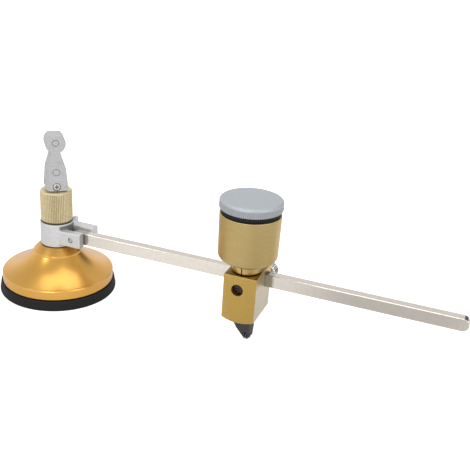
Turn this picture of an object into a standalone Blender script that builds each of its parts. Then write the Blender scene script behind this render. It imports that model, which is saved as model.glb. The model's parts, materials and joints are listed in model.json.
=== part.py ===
"""Circle cutter for glass: a suction base with a swivelling yoke, a flat rod and a sliding cutting turret.

Metres, +Z up. The origin is the middle of the suction disc's underside, and the rod runs along +X.
Each sub-part is one object with its own material. A moving piece has its origin on its joint's axis.
"""
import math

import bmesh
import bpy

MM = 0.001

# Clearance between neighbouring pieces, overrun of cuts and facets of round pieces
GAP = 0.3 * MM
OVERRUN = 1.0 * MM
MERGE = 0.01 * MM
ROUND_FINE = 64
ROUND_COARSE = 28
ARC_STEPS = 7
EDGE_ANGLE = math.radians(35)

# Suction disc of black rubber, which stands out past the bell's rim, with a pocket for the draw plate
DISC_OVERHANG = 1.6 * MM
DISC_TAPER = 0.8 * MM
DISC_THICKNESS = 5.6 * MM
DISC_LIP = 1.2 * MM
DISC_WEB = 2.4 * MM

# Draw plate, the steel disc that pulls the rubber up
PLATE_RADIUS = 12.0 * MM
PLATE_THICKNESS = 2.3 * MM

# Gold bell: rim band, concave flare and chamfered shoulder
BELL_RADIUS = 31.4 * MM
BELL_BAND = 5.5 * MM
BELL_WALL = 2.4 * MM
BELL_EDGE = 0.5 * MM
FLARE_HEIGHT = 11.6 * MM
FLARE_RADIUS = 36.0 * MM
SHOULDER_RADIUS = 13.6 * MM
SHOULDER_EDGE = 0.8 * MM
SHOULDER_CHAMFER = 3.8 * MM
BELL_CEILING = 3.2 * MM

# Hollow spigot through the bell's crown, with a flange under its ceiling
SPIGOT_RADIUS = 6.0 * MM
SPIGOT_LENGTH = 28.8 * MM
FLANGE_RADIUS = 8.4 * MM
FLANGE_THICKNESS = 1.2 * MM

# Stem, with the flat tongue that carries the lever
STEM_RADIUS = 3.2 * MM
STEM_FOOT_RADIUS = 2.3 * MM
TONGUE_THICKNESS = 3.4 * MM
TONGUE_WIDTH = 5.6 * MM

# Return spring round the stem, inside the bell
SPRING_RADIUS = 7.0 * MM
SPRING_WIRE = 0.7 * MM
SPRING_TURNS = 5
SPRING_POINTS_PER_TURN = 20

# Swivel washer and yoke
WASHER_RADIUS = 8.0 * MM
WASHER_THICKNESS = 0.8 * MM
YOKE_RADIUS = 9.3 * MM
YOKE_HEIGHT = 13.7 * MM
YOKE_EDGE = 0.5 * MM
NEAR_ARM_THICKNESS = 4.4 * MM
FAR_ARM_THICKNESS = 6.0 * MM
ARM_HEIGHT = 8.6 * MM
FAR_ARM_RISE = 0.8 * MM
NEAR_ARM_REACH = 19.2 * MM
FAR_ARM_REACH = 21.4 * MM
ROD_SIDE_PLAY = 0.5 * MM
BOSS_RADIUS = 1.5 * MM
BOSS_TURN = math.radians(43.5)
BOSS_RISE = 4.3 * MM

# Rod and the pin that it swings on
ROD_WIDTH = 5.0 * MM
ROD_HEIGHT = 6.9 * MM
ROD_AXIS_Z = 33.9 * MM
ROD_END_X = 231.0 * MM
ROD_EDGE = 0.35 * MM
PIN_RADIUS = 1.2 * MM
PIN_X = 13.1 * MM
PIN_RECESS = 0.2 * MM

# Knurled brass nut on the spigot
NUT_RADIUS = 8.9 * MM
NUT_HEIGHT = 18.1 * MM
NUT_WEB = 2.6 * MM
NUT_CHAMFER = 0.8 * MM
NUT_TEETH = 54
KNURL_DEPTH = 0.3 * MM

# Cast lever: its pivot, foot cam and outline
LEVER_YAW = math.radians(38.5)
LEVER_THICKNESS = 11.0 * MM
LEVER_EDGE = 0.5 * MM
PIVOT_ABOVE_NUT = 2.95 * MM
CAM_RISE_PER_RADIAN = 2.865 * MM
LEVER_HALF_WIDTH = 6.2 * MM
LEVER_WAIST_HALF_WIDTH = 5.7 * MM
LEVER_SHOULDER_HALF_WIDTH = 5.3 * MM
LEVER_FLARE_HALF_WIDTH = 3.8 * MM
LEVER_WAIST_RISE = 6.0 * MM
LEVER_SHOULDER_RISE = 10.5 * MM
LEVER_FLARE_RISE = 15.0 * MM
LEVER_HEAD_RADIUS = 5.5 * MM
LEVER_HEAD_RISE = 24.7 * MM
LEVER_HEAD_FLAT = 4.5 * MM
LEVER_NECK_DROP = 4.9 * MM

# Cross-recess screw that the lever turns on
PIVOT_RADIUS = 1.5 * MM
SCREW_HEAD_RADIUS = 1.95 * MM
SCREW_HEAD_HEIGHT = 1.1 * MM
SCREW_RECESS = 1.5 * MM
CROSS_WIDTH = 0.55 * MM
CROSS_LENGTH = 2.4 * MM
CROSS_DEPTH = 0.6 * MM

# Sliding block of the turret
TURRET_X = 118.0 * MM
BLOCK_WIDTH = 17.9 * MM
BLOCK_FRONT_Y = -16.9 * MM
BLOCK_BACK_Y = 7.3 * MM
BLOCK_TOP_Z = 40.4 * MM
BLOCK_CORNER_Z = 15.4 * MM
BLOCK_SAG = 2.0 * MM
BLOCK_EDGE = 0.4 * MM

# Spindle through the block, its set screw and the split ring round its neck
SPINDLE_Y = -7.4 * MM
SPINDLE_RADIUS = 3.2 * MM
SPINDLE_FOOT_Z = 16.5 * MM
SOCKET_RADIUS = 2.3 * MM
SOCKET_DEPTH = 10.5 * MM
SET_SCREW_RADIUS = 2.9 * MM
SET_SCREW_DEPTH = 2.6 * MM
SET_SCREW_Z = 32.4 * MM
SET_SCREW_OFFSET_X = -1.2 * MM
SLOT_WIDTH = 0.8 * MM
SLOT_DEPTH = 0.9 * MM
SLOT_TURN = math.radians(30)
RING_RADIUS = 7.8 * MM
RING_HEIGHT = 4.3 * MM
RING_SPLIT = 0.6 * MM
RING_EDGE = 0.4 * MM

# Handle barrel, its washer and screw
BARREL_FOOT_Z = 47.1 * MM
BARREL_HEIGHT = 25.2 * MM
BARREL_TOP_RADIUS = 15.8 * MM
BARREL_LOW_RADIUS = 15.4 * MM
BARREL_ROUND = 3.0 * MM
BARREL_WALL = 2.9 * MM
BARREL_FLOOR = 3.0 * MM
BARREL_EDGE = 0.3 * MM
BARREL_BOSS_RADIUS = 5.5 * MM
RETAINER_RADIUS = 6.0 * MM
RETAINER_THICKNESS = 0.8 * MM
HANDLE_SCREW_RADIUS = 1.5 * MM
HANDLE_SCREW_HEAD_RADIUS = 3.6 * MM
HANDLE_SCREW_HEAD_HEIGHT = 2.4 * MM
HANDLE_SCREW_LENGTH = 7.5 * MM

# Seal ring and screw cap
SEAL_INSET = 0.6 * MM
SEAL_HEIGHT = 2.0 * MM
CAP_OVERHANG = 0.4 * MM
CAP_HEIGHT = 5.2 * MM
CAP_ROUND = 1.5 * MM
CAP_EDGE = 0.3 * MM
CAP_TEETH = 72
CAP_KNURL_DEPTH = 0.22 * MM
CAP_SPIGOT_LENGTH = 8.9 * MM
CAP_SPIGOT_WALL = 1.9 * MM
CAP_CROWN = 4.0 * MM

# Knurled thumb screw that clamps the block to the rod
CLAMP_OFFSET_X = 5.6 * MM
CLAMP_DROP = 1.5 * MM
CLAMP_RADIUS = 2.0 * MM
CLAMP_TIP_RADIUS = 1.5 * MM
CLAMP_TIP_LENGTH = 1.2 * MM
CLAMP_COLLAR_RADIUS = 3.4 * MM
CLAMP_COLLAR_LENGTH = 1.4 * MM
CLAMP_HEAD_RADIUS = 5.4 * MM
CLAMP_HEAD_LENGTH = 6.5 * MM
CLAMP_HEAD_CHAMFER = 0.7 * MM
CLAMP_TEETH = 24

# Black cutter head: a wedge whose places are told from the spindle's axis
CUTTER_SHANK_RADIUS = 2.0 * MM
CUTTER_LEFT = 4.0 * MM
CUTTER_RIGHT = 5.3 * MM
CUTTER_DEPTH = 8.0 * MM
CUTTER_TIP_DEPTH = 3.0 * MM
CUTTER_TAPER_Z = 8.0 * MM
CUTTER_LEFT_Z = 10.8 * MM
CUTTER_STEP_Z = 2.4 * MM
CUTTER_STEP_DROP = 0.5 * MM
CUTTER_STEP_IN = 1.1 * MM
CUTTER_TIP_Z = 0.6 * MM
CUTTER_TIP_HALF_WIDTH = 1.0 * MM

# Cutting wheel and its axle
WHEEL_OFFSET_X = 2.9 * MM
WHEEL_RADIUS = 2.4 * MM
WHEEL_THICKNESS = 0.8 * MM
WHEEL_RIM = 0.25 * MM
WHEEL_EDGE_DEPTH = 0.8 * MM
AXLE_RADIUS = 0.6 * MM
AXLE_RECESS = 0.15 * MM

# Places that follow from the sizes above
disc_radius = BELL_RADIUS + DISC_OVERHANG
bell_z = DISC_THICKNESS + GAP
flare_z = bell_z + BELL_BAND
shoulder_z = flare_z + FLARE_HEIGHT
bell_top_z = shoulder_z + SHOULDER_EDGE + SHOULDER_CHAMFER
bell_top_radius = SHOULDER_RADIUS - SHOULDER_CHAMFER
ceiling_z = shoulder_z - BELL_CEILING + SHOULDER_EDGE
spigot_top_z = bell_top_z + SPIGOT_LENGTH
flange_top_z = ceiling_z - GAP
flange_z = flange_top_z - FLANGE_THICKNESS
plate_z = DISC_WEB + GAP
plate_top_z = plate_z + PLATE_THICKNESS
washer_z = bell_top_z + GAP
yoke_z = washer_z
yoke_top_z = yoke_z + YOKE_HEIGHT
arm_inner_y = ROD_WIDTH / 2 + ROD_SIDE_PLAY
near_arm_y = arm_inner_y + NEAR_ARM_THICKNESS
far_arm_y = arm_inner_y + FAR_ARM_THICKNESS
arm_z = ROD_AXIS_Z - ARM_HEIGHT / 2
nut_z = yoke_top_z + GAP
nut_top_z = nut_z + NUT_HEIGHT
pivot_z = nut_top_z + PIVOT_ABOVE_NUT
foot_drop = PIVOT_ABOVE_NUT - GAP
tongue_z = pivot_z - LEVER_HALF_WIDTH - 2 * GAP
spindle_top_z = BARREL_FOOT_Z + BARREL_FLOOR + GAP
retainer_z = spindle_top_z + GAP
barrel_top_z = BARREL_FOOT_Z + BARREL_HEIGHT
barrel_bore = BARREL_TOP_RADIUS - BARREL_WALL
seal_radius = BARREL_TOP_RADIUS - SEAL_INSET
cap_radius = BARREL_TOP_RADIUS + CAP_OVERHANG
seal_z = barrel_top_z + GAP
cap_z = seal_z + SEAL_HEIGHT + GAP
cap_spigot_radius = barrel_bore - GAP
ring_z = BLOCK_TOP_Z + GAP
clamp_z = ROD_AXIS_Z - CLAMP_DROP
head_top_z = BLOCK_CORNER_Z - BLOCK_SAG - GAP
wheel_slot = WHEEL_THICKNESS + 2 * GAP


def clear_scene():
    for obj in list(bpy.data.objects):
        bpy.data.objects.remove(obj, do_unlink=True)
    for collection in list(bpy.data.collections):
        bpy.data.collections.remove(collection)


def add_collection(name):
    collection = bpy.data.collections.new(name)
    bpy.context.scene.collection.children.link(collection)
    return collection


def add_material(name, colour, roughness, metallic):
    material = bpy.data.materials.new(name)
    material.use_nodes = True
    shader = material.node_tree.nodes["Principled BSDF"]
    shader.inputs["Base Color"].default_value = (*colour, 1)
    shader.inputs["Roughness"].default_value = roughness
    shader.inputs["Metallic"].default_value = metallic
    material.diffuse_color = (*colour, 1)
    return material


def place(obj, collection, location=(0, 0, 0), rotation=(0, 0, 0)):
    collection.objects.link(obj)
    obj.location = location
    obj.rotation_euler = rotation
    return obj


def turned(name, profile, collection, location=(0, 0, 0), rotation=(0, 0, 0), steps=ROUND_FINE, closed=False):
    """A round piece: points (radius, height) spun about Z, top to bottom on its outer side."""
    mesh = bpy.data.meshes.new(name)
    vertices = [(radius, 0, height) for radius, height in profile]
    edges = [(i, i + 1) for i in range(len(profile) - 1)]
    if closed:
        edges.append((len(profile) - 1, 0))
    mesh.from_pydata(vertices, edges, [])
    obj = place(bpy.data.objects.new(name, mesh), collection, location, rotation)
    screw = obj.modifiers.new("Spin", "SCREW")
    screw.steps = steps
    screw.render_steps = steps
    screw.use_merge_vertices = True
    screw.merge_threshold = MERGE
    screw.use_smooth_shade = False
    return obj


def bar(name, radius, low, high, collection, location=(0, 0, 0), rotation=(0, 0, 0), steps=ROUND_COARSE):
    """A plain cylinder along its own Z, from low to high."""
    profile = [(0, high), (radius, high), (radius, low), (0, low)]
    return turned(name, profile, collection, location, rotation, steps)


def box(name, low, high, collection, location=(0, 0, 0), rotation=(0, 0, 0)):
    """A block between two corners."""
    mesh = bpy.data.meshes.new(name)
    shape = bmesh.new()
    bmesh.ops.create_cube(shape, size=1.0)
    for vertex in shape.verts:
        for axis in range(3):
            vertex.co[axis] = high[axis] if vertex.co[axis] > 0 else low[axis]
    shape.to_mesh(mesh)
    shape.free()
    return place(bpy.data.objects.new(name, mesh), collection, location, rotation)


def plate(name, outline, low, high, collection, location=(0, 0, 0), rotation=(0, 0, 0)):
    """A closed outline in X and Y, filled and extruded along Z from low to high."""
    curve = bpy.data.curves.new(name, "CURVE")
    curve.dimensions = "2D"
    curve.fill_mode = "BOTH"
    curve.extrude = (high - low) / 2
    spline = curve.splines.new("POLY")
    spline.points.add(len(outline) - 1)
    for point, (x, y) in zip(spline.points, outline):
        point.co = (x, y, 0, 1)
    spline.use_cyclic_u = True
    drawn = place(bpy.data.objects.new(name, curve), collection)
    bpy.context.view_layer.update()
    evaluated = drawn.evaluated_get(bpy.context.evaluated_depsgraph_get())
    mesh = bpy.data.meshes.new_from_object(evaluated)
    bpy.data.objects.remove(drawn, do_unlink=True)
    shape = bmesh.new()
    shape.from_mesh(mesh)
    bmesh.ops.remove_doubles(shape, verts=shape.verts, dist=MERGE)
    bmesh.ops.translate(shape, verts=shape.verts, vec=(0, 0, (low + high) / 2))
    shape.to_mesh(mesh)
    shape.free()
    return place(bpy.data.objects.new(name, mesh), collection, location, rotation)


def arc(centre, radius, start, end, steps=ARC_STEPS):
    """Points on a circle from one angle to another, ends included."""
    points = []
    for i in range(steps + 1):
        angle = start + (end - start) * i / steps
        points.append((centre[0] + radius * math.cos(angle), centre[1] + radius * math.sin(angle)))
    return points


def sagging_arc(start, end, radius, steps=ARC_STEPS):
    """Points of an arc from start to end whose centre lies to the right of that way."""
    reach = math.dist(start, end)
    middle = ((start[0] + end[0]) / 2, (start[1] + end[1]) / 2)
    along = ((end[0] - start[0]) / reach, (end[1] - start[1]) / reach)
    height = math.sqrt(radius * radius - reach * reach / 4)
    centre = (middle[0] + along[1] * height, middle[1] - along[0] * height)
    first = math.atan2(start[1] - centre[1], start[0] - centre[0])
    last = math.atan2(end[1] - centre[1], end[0] - centre[0])
    turn = (last - first + math.pi) % (2 * math.pi) - math.pi
    return arc(centre, radius, first, first + turn, steps)


def star(radius, depth, teeth):
    """The outline of a straight knurl."""
    points = []
    for i in range(2 * teeth):
        reach = radius - depth * (i % 2)
        angle = math.pi * i / teeth
        points.append((reach * math.cos(angle), reach * math.sin(angle)))
    return points


def join(obj, tool, operation):
    """Cuts obj with tool, unites them or keeps what they share."""
    tool.hide_render = True
    tool.display_type = "WIRE"
    boolean = obj.modifiers.new(operation.title(), "BOOLEAN")
    boolean.operation = operation
    boolean.solver = "EXACT"
    boolean.object = tool
    return obj


def round_edges(obj, width, segments=1):
    bevel = obj.modifiers.new("Edges", "BEVEL")
    bevel.width = width
    bevel.segments = segments
    bevel.limit_method = "ANGLE"
    bevel.angle_limit = EDGE_ANGLE
    return obj


def finish(obj, material):
    """Gives the piece its material and smooth round faces."""
    obj.data.materials.clear()
    obj.data.materials.append(material)
    if obj.type == "MESH":
        obj.data.shade_smooth()
        obj.data.set_sharp_from_angle(angle=EDGE_ANGLE)
    return obj


clear_scene()
parts = add_collection("circle_cutter")
cutters = add_collection("cutters")

rubber = add_material("black_rubber", (0.02, 0.02, 0.022), 0.6, 0)
gold = add_material("gold_anodised", (0.83, 0.55, 0.16), 0.34, 1)
dull_gold = add_material("turret_gold", (0.66, 0.5, 0.22), 0.38, 1)
brass = add_material("brass", (0.78, 0.66, 0.38), 0.34, 1)
casting = add_material("grey_casting", (0.56, 0.57, 0.59), 0.5, 0.6)
nickel = add_material("nickel_plate", (0.74, 0.7, 0.64), 0.2, 1)
steel = add_material("bright_steel", (0.6, 0.6, 0.61), 0.28, 1)
cap_grey = add_material("grey_cap", (0.44, 0.46, 0.49), 0.42, 0.5)
plastic = add_material("black_plastic", (0.035, 0.035, 0.042), 0.6, 0)
carbide = add_material("carbide", (0.32, 0.33, 0.35), 0.25, 1)
nylon = add_material("nylon", (0.82, 0.81, 0.77), 0.5, 0)

FACING_FRONT = (math.radians(90), 0, 0)
FACING_BACK = (math.radians(-90), 0, 0)
FACING_RIGHT = (0, math.radians(90), 0)


def make_suction_disc():
    """The rubber disc: flat under, slightly tapered side, a pocket for the draw plate on top."""
    pocket_radius = PLATE_RADIUS + GAP
    profile = [
        (0, DISC_WEB),
        (pocket_radius, DISC_WEB),
        (pocket_radius, DISC_THICKNESS),
        (disc_radius - DISC_TAPER, DISC_THICKNESS),
        (disc_radius, DISC_LIP),
        (disc_radius, 0),
        (0, 0),
    ]
    finish(turned("suction_disc", profile, parts), rubber)


def make_draw_plate():
    """The steel plate under the stem, which lies in the disc's pocket."""
    bore = STEM_FOOT_RADIUS + GAP
    profile = [(bore, plate_top_z), (PLATE_RADIUS, plate_top_z), (PLATE_RADIUS, plate_z), (bore, plate_z)]
    finish(turned("draw_plate", profile, parts, closed=True, steps=ROUND_COARSE), steel)


def make_base_bell():
    """The gold bell: rim band, flare and chamfered shoulder, bored for the spigot."""
    bore = SPIGOT_RADIUS + GAP
    flare = sagging_arc((BELL_RADIUS - BELL_EDGE, flare_z), (SHOULDER_RADIUS, shoulder_z), FLARE_RADIUS)
    hollow_low = (BELL_RADIUS - BELL_WALL, flare_z - BELL_WALL)
    hollow_high = (SHOULDER_RADIUS - BELL_WALL, shoulder_z - BELL_WALL - SHOULDER_EDGE)
    hollow = sagging_arc(hollow_low, hollow_high, FLARE_RADIUS)
    outer = [
        (bore, bell_top_z),
        (bell_top_radius, bell_top_z),
        (SHOULDER_RADIUS, shoulder_z + SHOULDER_EDGE),
    ]
    rim = [
        (BELL_RADIUS, flare_z - BELL_EDGE),
        (BELL_RADIUS, bell_z + BELL_EDGE),
        (BELL_RADIUS - BELL_EDGE, bell_z),
        (BELL_RADIUS - BELL_WALL, bell_z),
    ]
    inner = [(hollow_high[0], ceiling_z), (bore, ceiling_z)]
    finish(turned("base_bell", outer + flare[::-1] + rim + hollow + inner, parts, closed=True), gold)


def make_spigot():
    """The hollow spigot that yoke and nut sit on. Its flange bears on the bell's ceiling from below."""
    bore = STEM_RADIUS + GAP
    profile = [
        (bore, spigot_top_z),
        (SPIGOT_RADIUS - BELL_EDGE, spigot_top_z),
        (SPIGOT_RADIUS, spigot_top_z - BELL_EDGE),
        (SPIGOT_RADIUS, flange_top_z),
        (FLANGE_RADIUS, flange_top_z),
        (FLANGE_RADIUS, flange_z),
        (bore, flange_z),
    ]
    finish(turned("spigot", profile, parts, closed=True), gold)


def make_return_spring():
    """The coil between the draw plate and the spigot's flange. It pushes the rubber flat again."""
    low = plate_top_z + GAP + SPRING_WIRE
    high = flange_z - GAP - SPRING_WIRE
    count = SPRING_TURNS * SPRING_POINTS_PER_TURN + 1
    points = []
    for i in range(count):
        share = i / (count - 1)
        angle = 2 * math.pi * SPRING_TURNS * share
        height = low + (high - low) * share
        points.append((SPRING_RADIUS * math.cos(angle), SPRING_RADIUS * math.sin(angle), height))
    curve = bpy.data.curves.new("return_spring", "CURVE")
    curve.dimensions = "3D"
    curve.bevel_depth = SPRING_WIRE
    curve.bevel_resolution = 1
    curve.use_fill_caps = True
    spline = curve.splines.new("POLY")
    spline.points.add(count - 1)
    for point, place_of_point in zip(spline.points, points):
        point.co = (*place_of_point, 1)
    obj = place(bpy.data.objects.new("return_spring", curve), parts)
    finish(obj, steel)
    pitch = (high - low) / SPRING_TURNS
    print("return_spring least gap to itself, mm:", round((pitch - 2 * SPRING_WIRE) / MM, 2))


def make_swivel_washer():
    """The slip washer between bell and yoke, hidden in the yoke's counterbore."""
    bore = SPIGOT_RADIUS + GAP
    top_z = washer_z + WASHER_THICKNESS
    profile = [(bore, top_z), (WASHER_RADIUS, top_z), (WASHER_RADIUS, washer_z), (bore, washer_z)]
    finish(turned("swivel_washer", profile, parts, closed=True, steps=ROUND_COARSE), nylon)


def make_yoke():
    """The cast yoke: a ring round the spigot with two arms that take the rod's end between them."""
    bore = SPIGOT_RADIUS + GAP
    seat_radius = WASHER_RADIUS + GAP
    seat_z = washer_z + WASHER_THICKNESS + GAP
    edge = YOKE_EDGE
    profile = [
        (0, yoke_top_z),
        (YOKE_RADIUS - edge, yoke_top_z),
        (YOKE_RADIUS, yoke_top_z - edge),
        (YOKE_RADIUS, yoke_z + edge),
        (YOKE_RADIUS - edge, yoke_z),
        (0, yoke_z),
    ]
    yoke = turned("yoke", profile, parts)
    wall_middle = (YOKE_RADIUS + bore) / 2
    arm_top_z = arm_z + ARM_HEIGHT
    near_arm = ("near_arm", -near_arm_y, -arm_inner_y, NEAR_ARM_REACH, arm_top_z)
    far_arm = ("far_arm", arm_inner_y, far_arm_y, FAR_ARM_REACH, arm_top_z + FAR_ARM_RISE)
    for name, low_y, high_y, reach, top_z in (near_arm, far_arm):
        outer_y = max(-low_y, high_y)
        root_x = math.sqrt(max(0, wall_middle * wall_middle - outer_y * outer_y))
        arm = box(name, (root_x, low_y, arm_z), (reach, high_y, top_z), cutters)
        round_edges(arm, YOKE_EDGE)
        join(yoke, arm, "UNION")
    boss_reach = NUT_RADIUS + GAP + BOSS_RADIUS
    boss_place = (boss_reach * math.cos(BOSS_TURN), boss_reach * math.sin(BOSS_TURN), 0)
    boss = bar("boss", BOSS_RADIUS, arm_top_z - OVERRUN, arm_top_z + BOSS_RISE, cutters, boss_place)
    round_edges(boss, YOKE_EDGE)
    join(yoke, boss, "UNION")
    hollow = [
        (0, yoke_top_z + OVERRUN),
        (bore, yoke_top_z + OVERRUN),
        (bore, seat_z),
        (seat_radius, seat_z),
        (seat_radius, yoke_z - OVERRUN),
        (0, yoke_z - OVERRUN),
    ]
    join(yoke, turned("yoke_bore", hollow, cutters), "DIFFERENCE")
    reach = max(near_arm_y, far_arm_y) + OVERRUN
    hole = bar("yoke_pin_hole", PIN_RADIUS + GAP, -reach, reach, cutters, (PIN_X, 0, ROD_AXIS_Z), FACING_FRONT)
    join(yoke, hole, "DIFFERENCE")
    finish(yoke, casting)


def make_rod_pin():
    """The pin through both arms, on which the rod swings."""
    back = PIN_RECESS - far_arm_y
    front = near_arm_y - PIN_RECESS
    pin = bar("rod_pin", PIN_RADIUS, back, front, parts, (PIN_X, 0, ROD_AXIS_Z), FACING_FRONT)
    finish(pin, steel)


def make_rod():
    """The flat plated rod with half-round ends. Its origin is on the pin's axis."""
    radius = ROD_HEIGHT / 2
    far = ROD_END_X - PIN_X - radius
    outline = arc((far, 0), radius, -math.pi / 2, math.pi / 2, 2 * ARC_STEPS)
    outline += arc((0, 0), radius, math.pi / 2, 3 * math.pi / 2, 2 * ARC_STEPS)
    half = ROD_WIDTH / 2
    rod = plate("rod", outline, -half, half, parts, (PIN_X, 0, ROD_AXIS_Z), FACING_FRONT)
    round_edges(rod, ROD_EDGE)
    reach = half + OVERRUN
    hole = bar("rod_hole", PIN_RADIUS + GAP, -reach, reach, cutters, (PIN_X, 0, ROD_AXIS_Z), FACING_FRONT)
    join(rod, hole, "DIFFERENCE")
    finish(rod, nickel)


def make_knurled_nut():
    """The knurled brass nut. Its top web carries the lever's foot and lets the stem through."""
    edge = NUT_CHAMFER
    bore = SPIGOT_RADIUS + GAP
    web_bore = STEM_RADIUS + 2 * GAP
    web_z = nut_top_z - NUT_WEB
    profile = [
        (web_bore, nut_top_z),
        (NUT_RADIUS - edge, nut_top_z),
        (NUT_RADIUS + MERGE, nut_top_z - edge),
        (NUT_RADIUS + MERGE, nut_z + GAP),
        (NUT_RADIUS - GAP, nut_z),
        (bore, nut_z),
        (bore, web_z),
        (web_bore, web_z),
    ]
    outline = star(NUT_RADIUS, KNURL_DEPTH, NUT_TEETH)
    nut = turned("knurled_nut", profile, parts, closed=True, steps=NUT_TEETH)
    knurl = plate("nut_knurl", outline, nut_z - OVERRUN, nut_top_z + OVERRUN, cutters)
    join(nut, knurl, "INTERSECT")
    finish(nut, brass)


def make_stem():
    """The stem from the draw plate up through the bell, ending in the tongue between the lever's cheeks."""
    foot_z = plate_z + GAP
    shoulder = plate_top_z + GAP
    profile = [
        (0, tongue_z),
        (STEM_RADIUS, tongue_z),
        (STEM_RADIUS, shoulder),
        (STEM_FOOT_RADIUS, shoulder),
        (STEM_FOOT_RADIUS, foot_z),
        (0, foot_z),
    ]
    stem = turned("stem", profile, parts, steps=ROUND_COARSE)
    radius = TONGUE_WIDTH / 2
    outline = arc((0, 0), radius, 0, math.pi, 2 * ARC_STEPS)
    low = tongue_z - OVERRUN - pivot_z
    outline += [(-radius, low), (radius, low)]
    half = TONGUE_THICKNESS / 2
    turn = (FACING_FRONT[0], 0, LEVER_YAW)
    tongue = plate("tongue", outline, -half, half, cutters, (0, 0, pivot_z), turn)
    join(stem, tongue, "UNION")
    reach = half + OVERRUN
    hole = bar("tongue_hole", PIVOT_RADIUS + GAP, -reach, reach, cutters, (0, 0, pivot_z), turn)
    join(stem, hole, "DIFFERENCE")
    finish(stem, steel)


def lever_outline():
    """The lever seen from its front, from the head's flat round by the right side and the foot cam."""
    sides = [
        (LEVER_FLARE_HALF_WIDTH, LEVER_FLARE_RISE),
        (LEVER_SHOULDER_HALF_WIDTH, LEVER_SHOULDER_RISE),
        (LEVER_WAIST_HALF_WIDTH, LEVER_WAIST_RISE),
        (LEVER_HALF_WIDTH, 0),
    ]
    top = math.asin(LEVER_HEAD_FLAT / LEVER_HEAD_RADIUS)
    neck = math.asin(LEVER_NECK_DROP / LEVER_HEAD_RADIUS)
    points = arc((0, LEVER_HEAD_RISE), LEVER_HEAD_RADIUS, top, -neck, 2 * ARC_STEPS)
    points += sides
    points.append((LEVER_HALF_WIDTH, -foot_drop))
    for i in range(2 * ARC_STEPS + 1):
        angle = math.pi / 2 * i / (2 * ARC_STEPS)
        lift = foot_drop + CAM_RISE_PER_RADIAN * angle
        across = -lift * math.sin(angle) - CAM_RISE_PER_RADIAN * math.cos(angle)
        rise = -lift * math.cos(angle) + CAM_RISE_PER_RADIAN * math.sin(angle)
        if across > -LEVER_HALF_WIDTH:
            points.append((across, rise))
            last = (across, rise)
    points.append((-LEVER_HALF_WIDTH, last[1] + GAP))
    points += [(-x, z) for x, z in reversed(sides)]
    points += arc((0, LEVER_HEAD_RISE), LEVER_HEAD_RADIUS, math.pi + neck, math.pi - top, 2 * ARC_STEPS)
    return points


def make_lever():
    """The cast lever. Its slotted foot straddles the tongue, and its cam lifts the stem off the nut."""
    half = LEVER_THICKNESS / 2
    turn = (FACING_FRONT[0], 0, LEVER_YAW)
    pivot = (0, 0, pivot_z)
    lever = plate("lever", lever_outline(), -half, half, parts, pivot, turn)
    round_edges(lever, LEVER_EDGE)
    slot_half = TONGUE_THICKNESS / 2 + GAP
    slot_top = TONGUE_WIDTH / 2 + 2 * GAP
    side = LEVER_HALF_WIDTH + OVERRUN
    slot_low = (-side, -slot_half, -side)
    slot = box("lever_slot", slot_low, (side, slot_half, slot_top), cutters, pivot, (0, 0, LEVER_YAW))
    join(lever, slot, "DIFFERENCE")
    reach = half + OVERRUN
    hole = bar("lever_hole", PIVOT_RADIUS + GAP, -reach, reach, cutters, pivot, turn)
    join(lever, hole, "DIFFERENCE")
    seat = bar("lever_recess", SCREW_HEAD_RADIUS + GAP, half - SCREW_RECESS, reach, cutters, pivot, turn)
    join(lever, seat, "DIFFERENCE")
    finish(lever, casting)


def make_lever_screw():
    """The cross-recess screw through the lever's cheeks and the tongue."""
    under_head = LEVER_THICKNESS / 2 - SCREW_RECESS + GAP
    top = under_head + SCREW_HEAD_HEIGHT
    tail = -LEVER_THICKNESS / 2 + GAP
    profile = [
        (0, top),
        (SCREW_HEAD_RADIUS - GAP, top),
        (SCREW_HEAD_RADIUS, top - GAP),
        (SCREW_HEAD_RADIUS, under_head),
        (PIVOT_RADIUS, under_head),
        (PIVOT_RADIUS, tail),
        (0, tail),
    ]
    turn = (FACING_FRONT[0], 0, LEVER_YAW)
    pivot = (0, 0, pivot_z)
    screw = turned("lever_screw", profile, parts, pivot, turn, ROUND_COARSE)
    for name, across, along in (("cross_a", CROSS_LENGTH, CROSS_WIDTH), ("cross_b", CROSS_WIDTH, CROSS_LENGTH)):
        low = (-across / 2, -along / 2, top - CROSS_DEPTH)
        high = (across / 2, along / 2, top + OVERRUN)
        join(screw, box(name, low, high, cutters, pivot, turn), "DIFFERENCE")
    finish(screw, steel)


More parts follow.
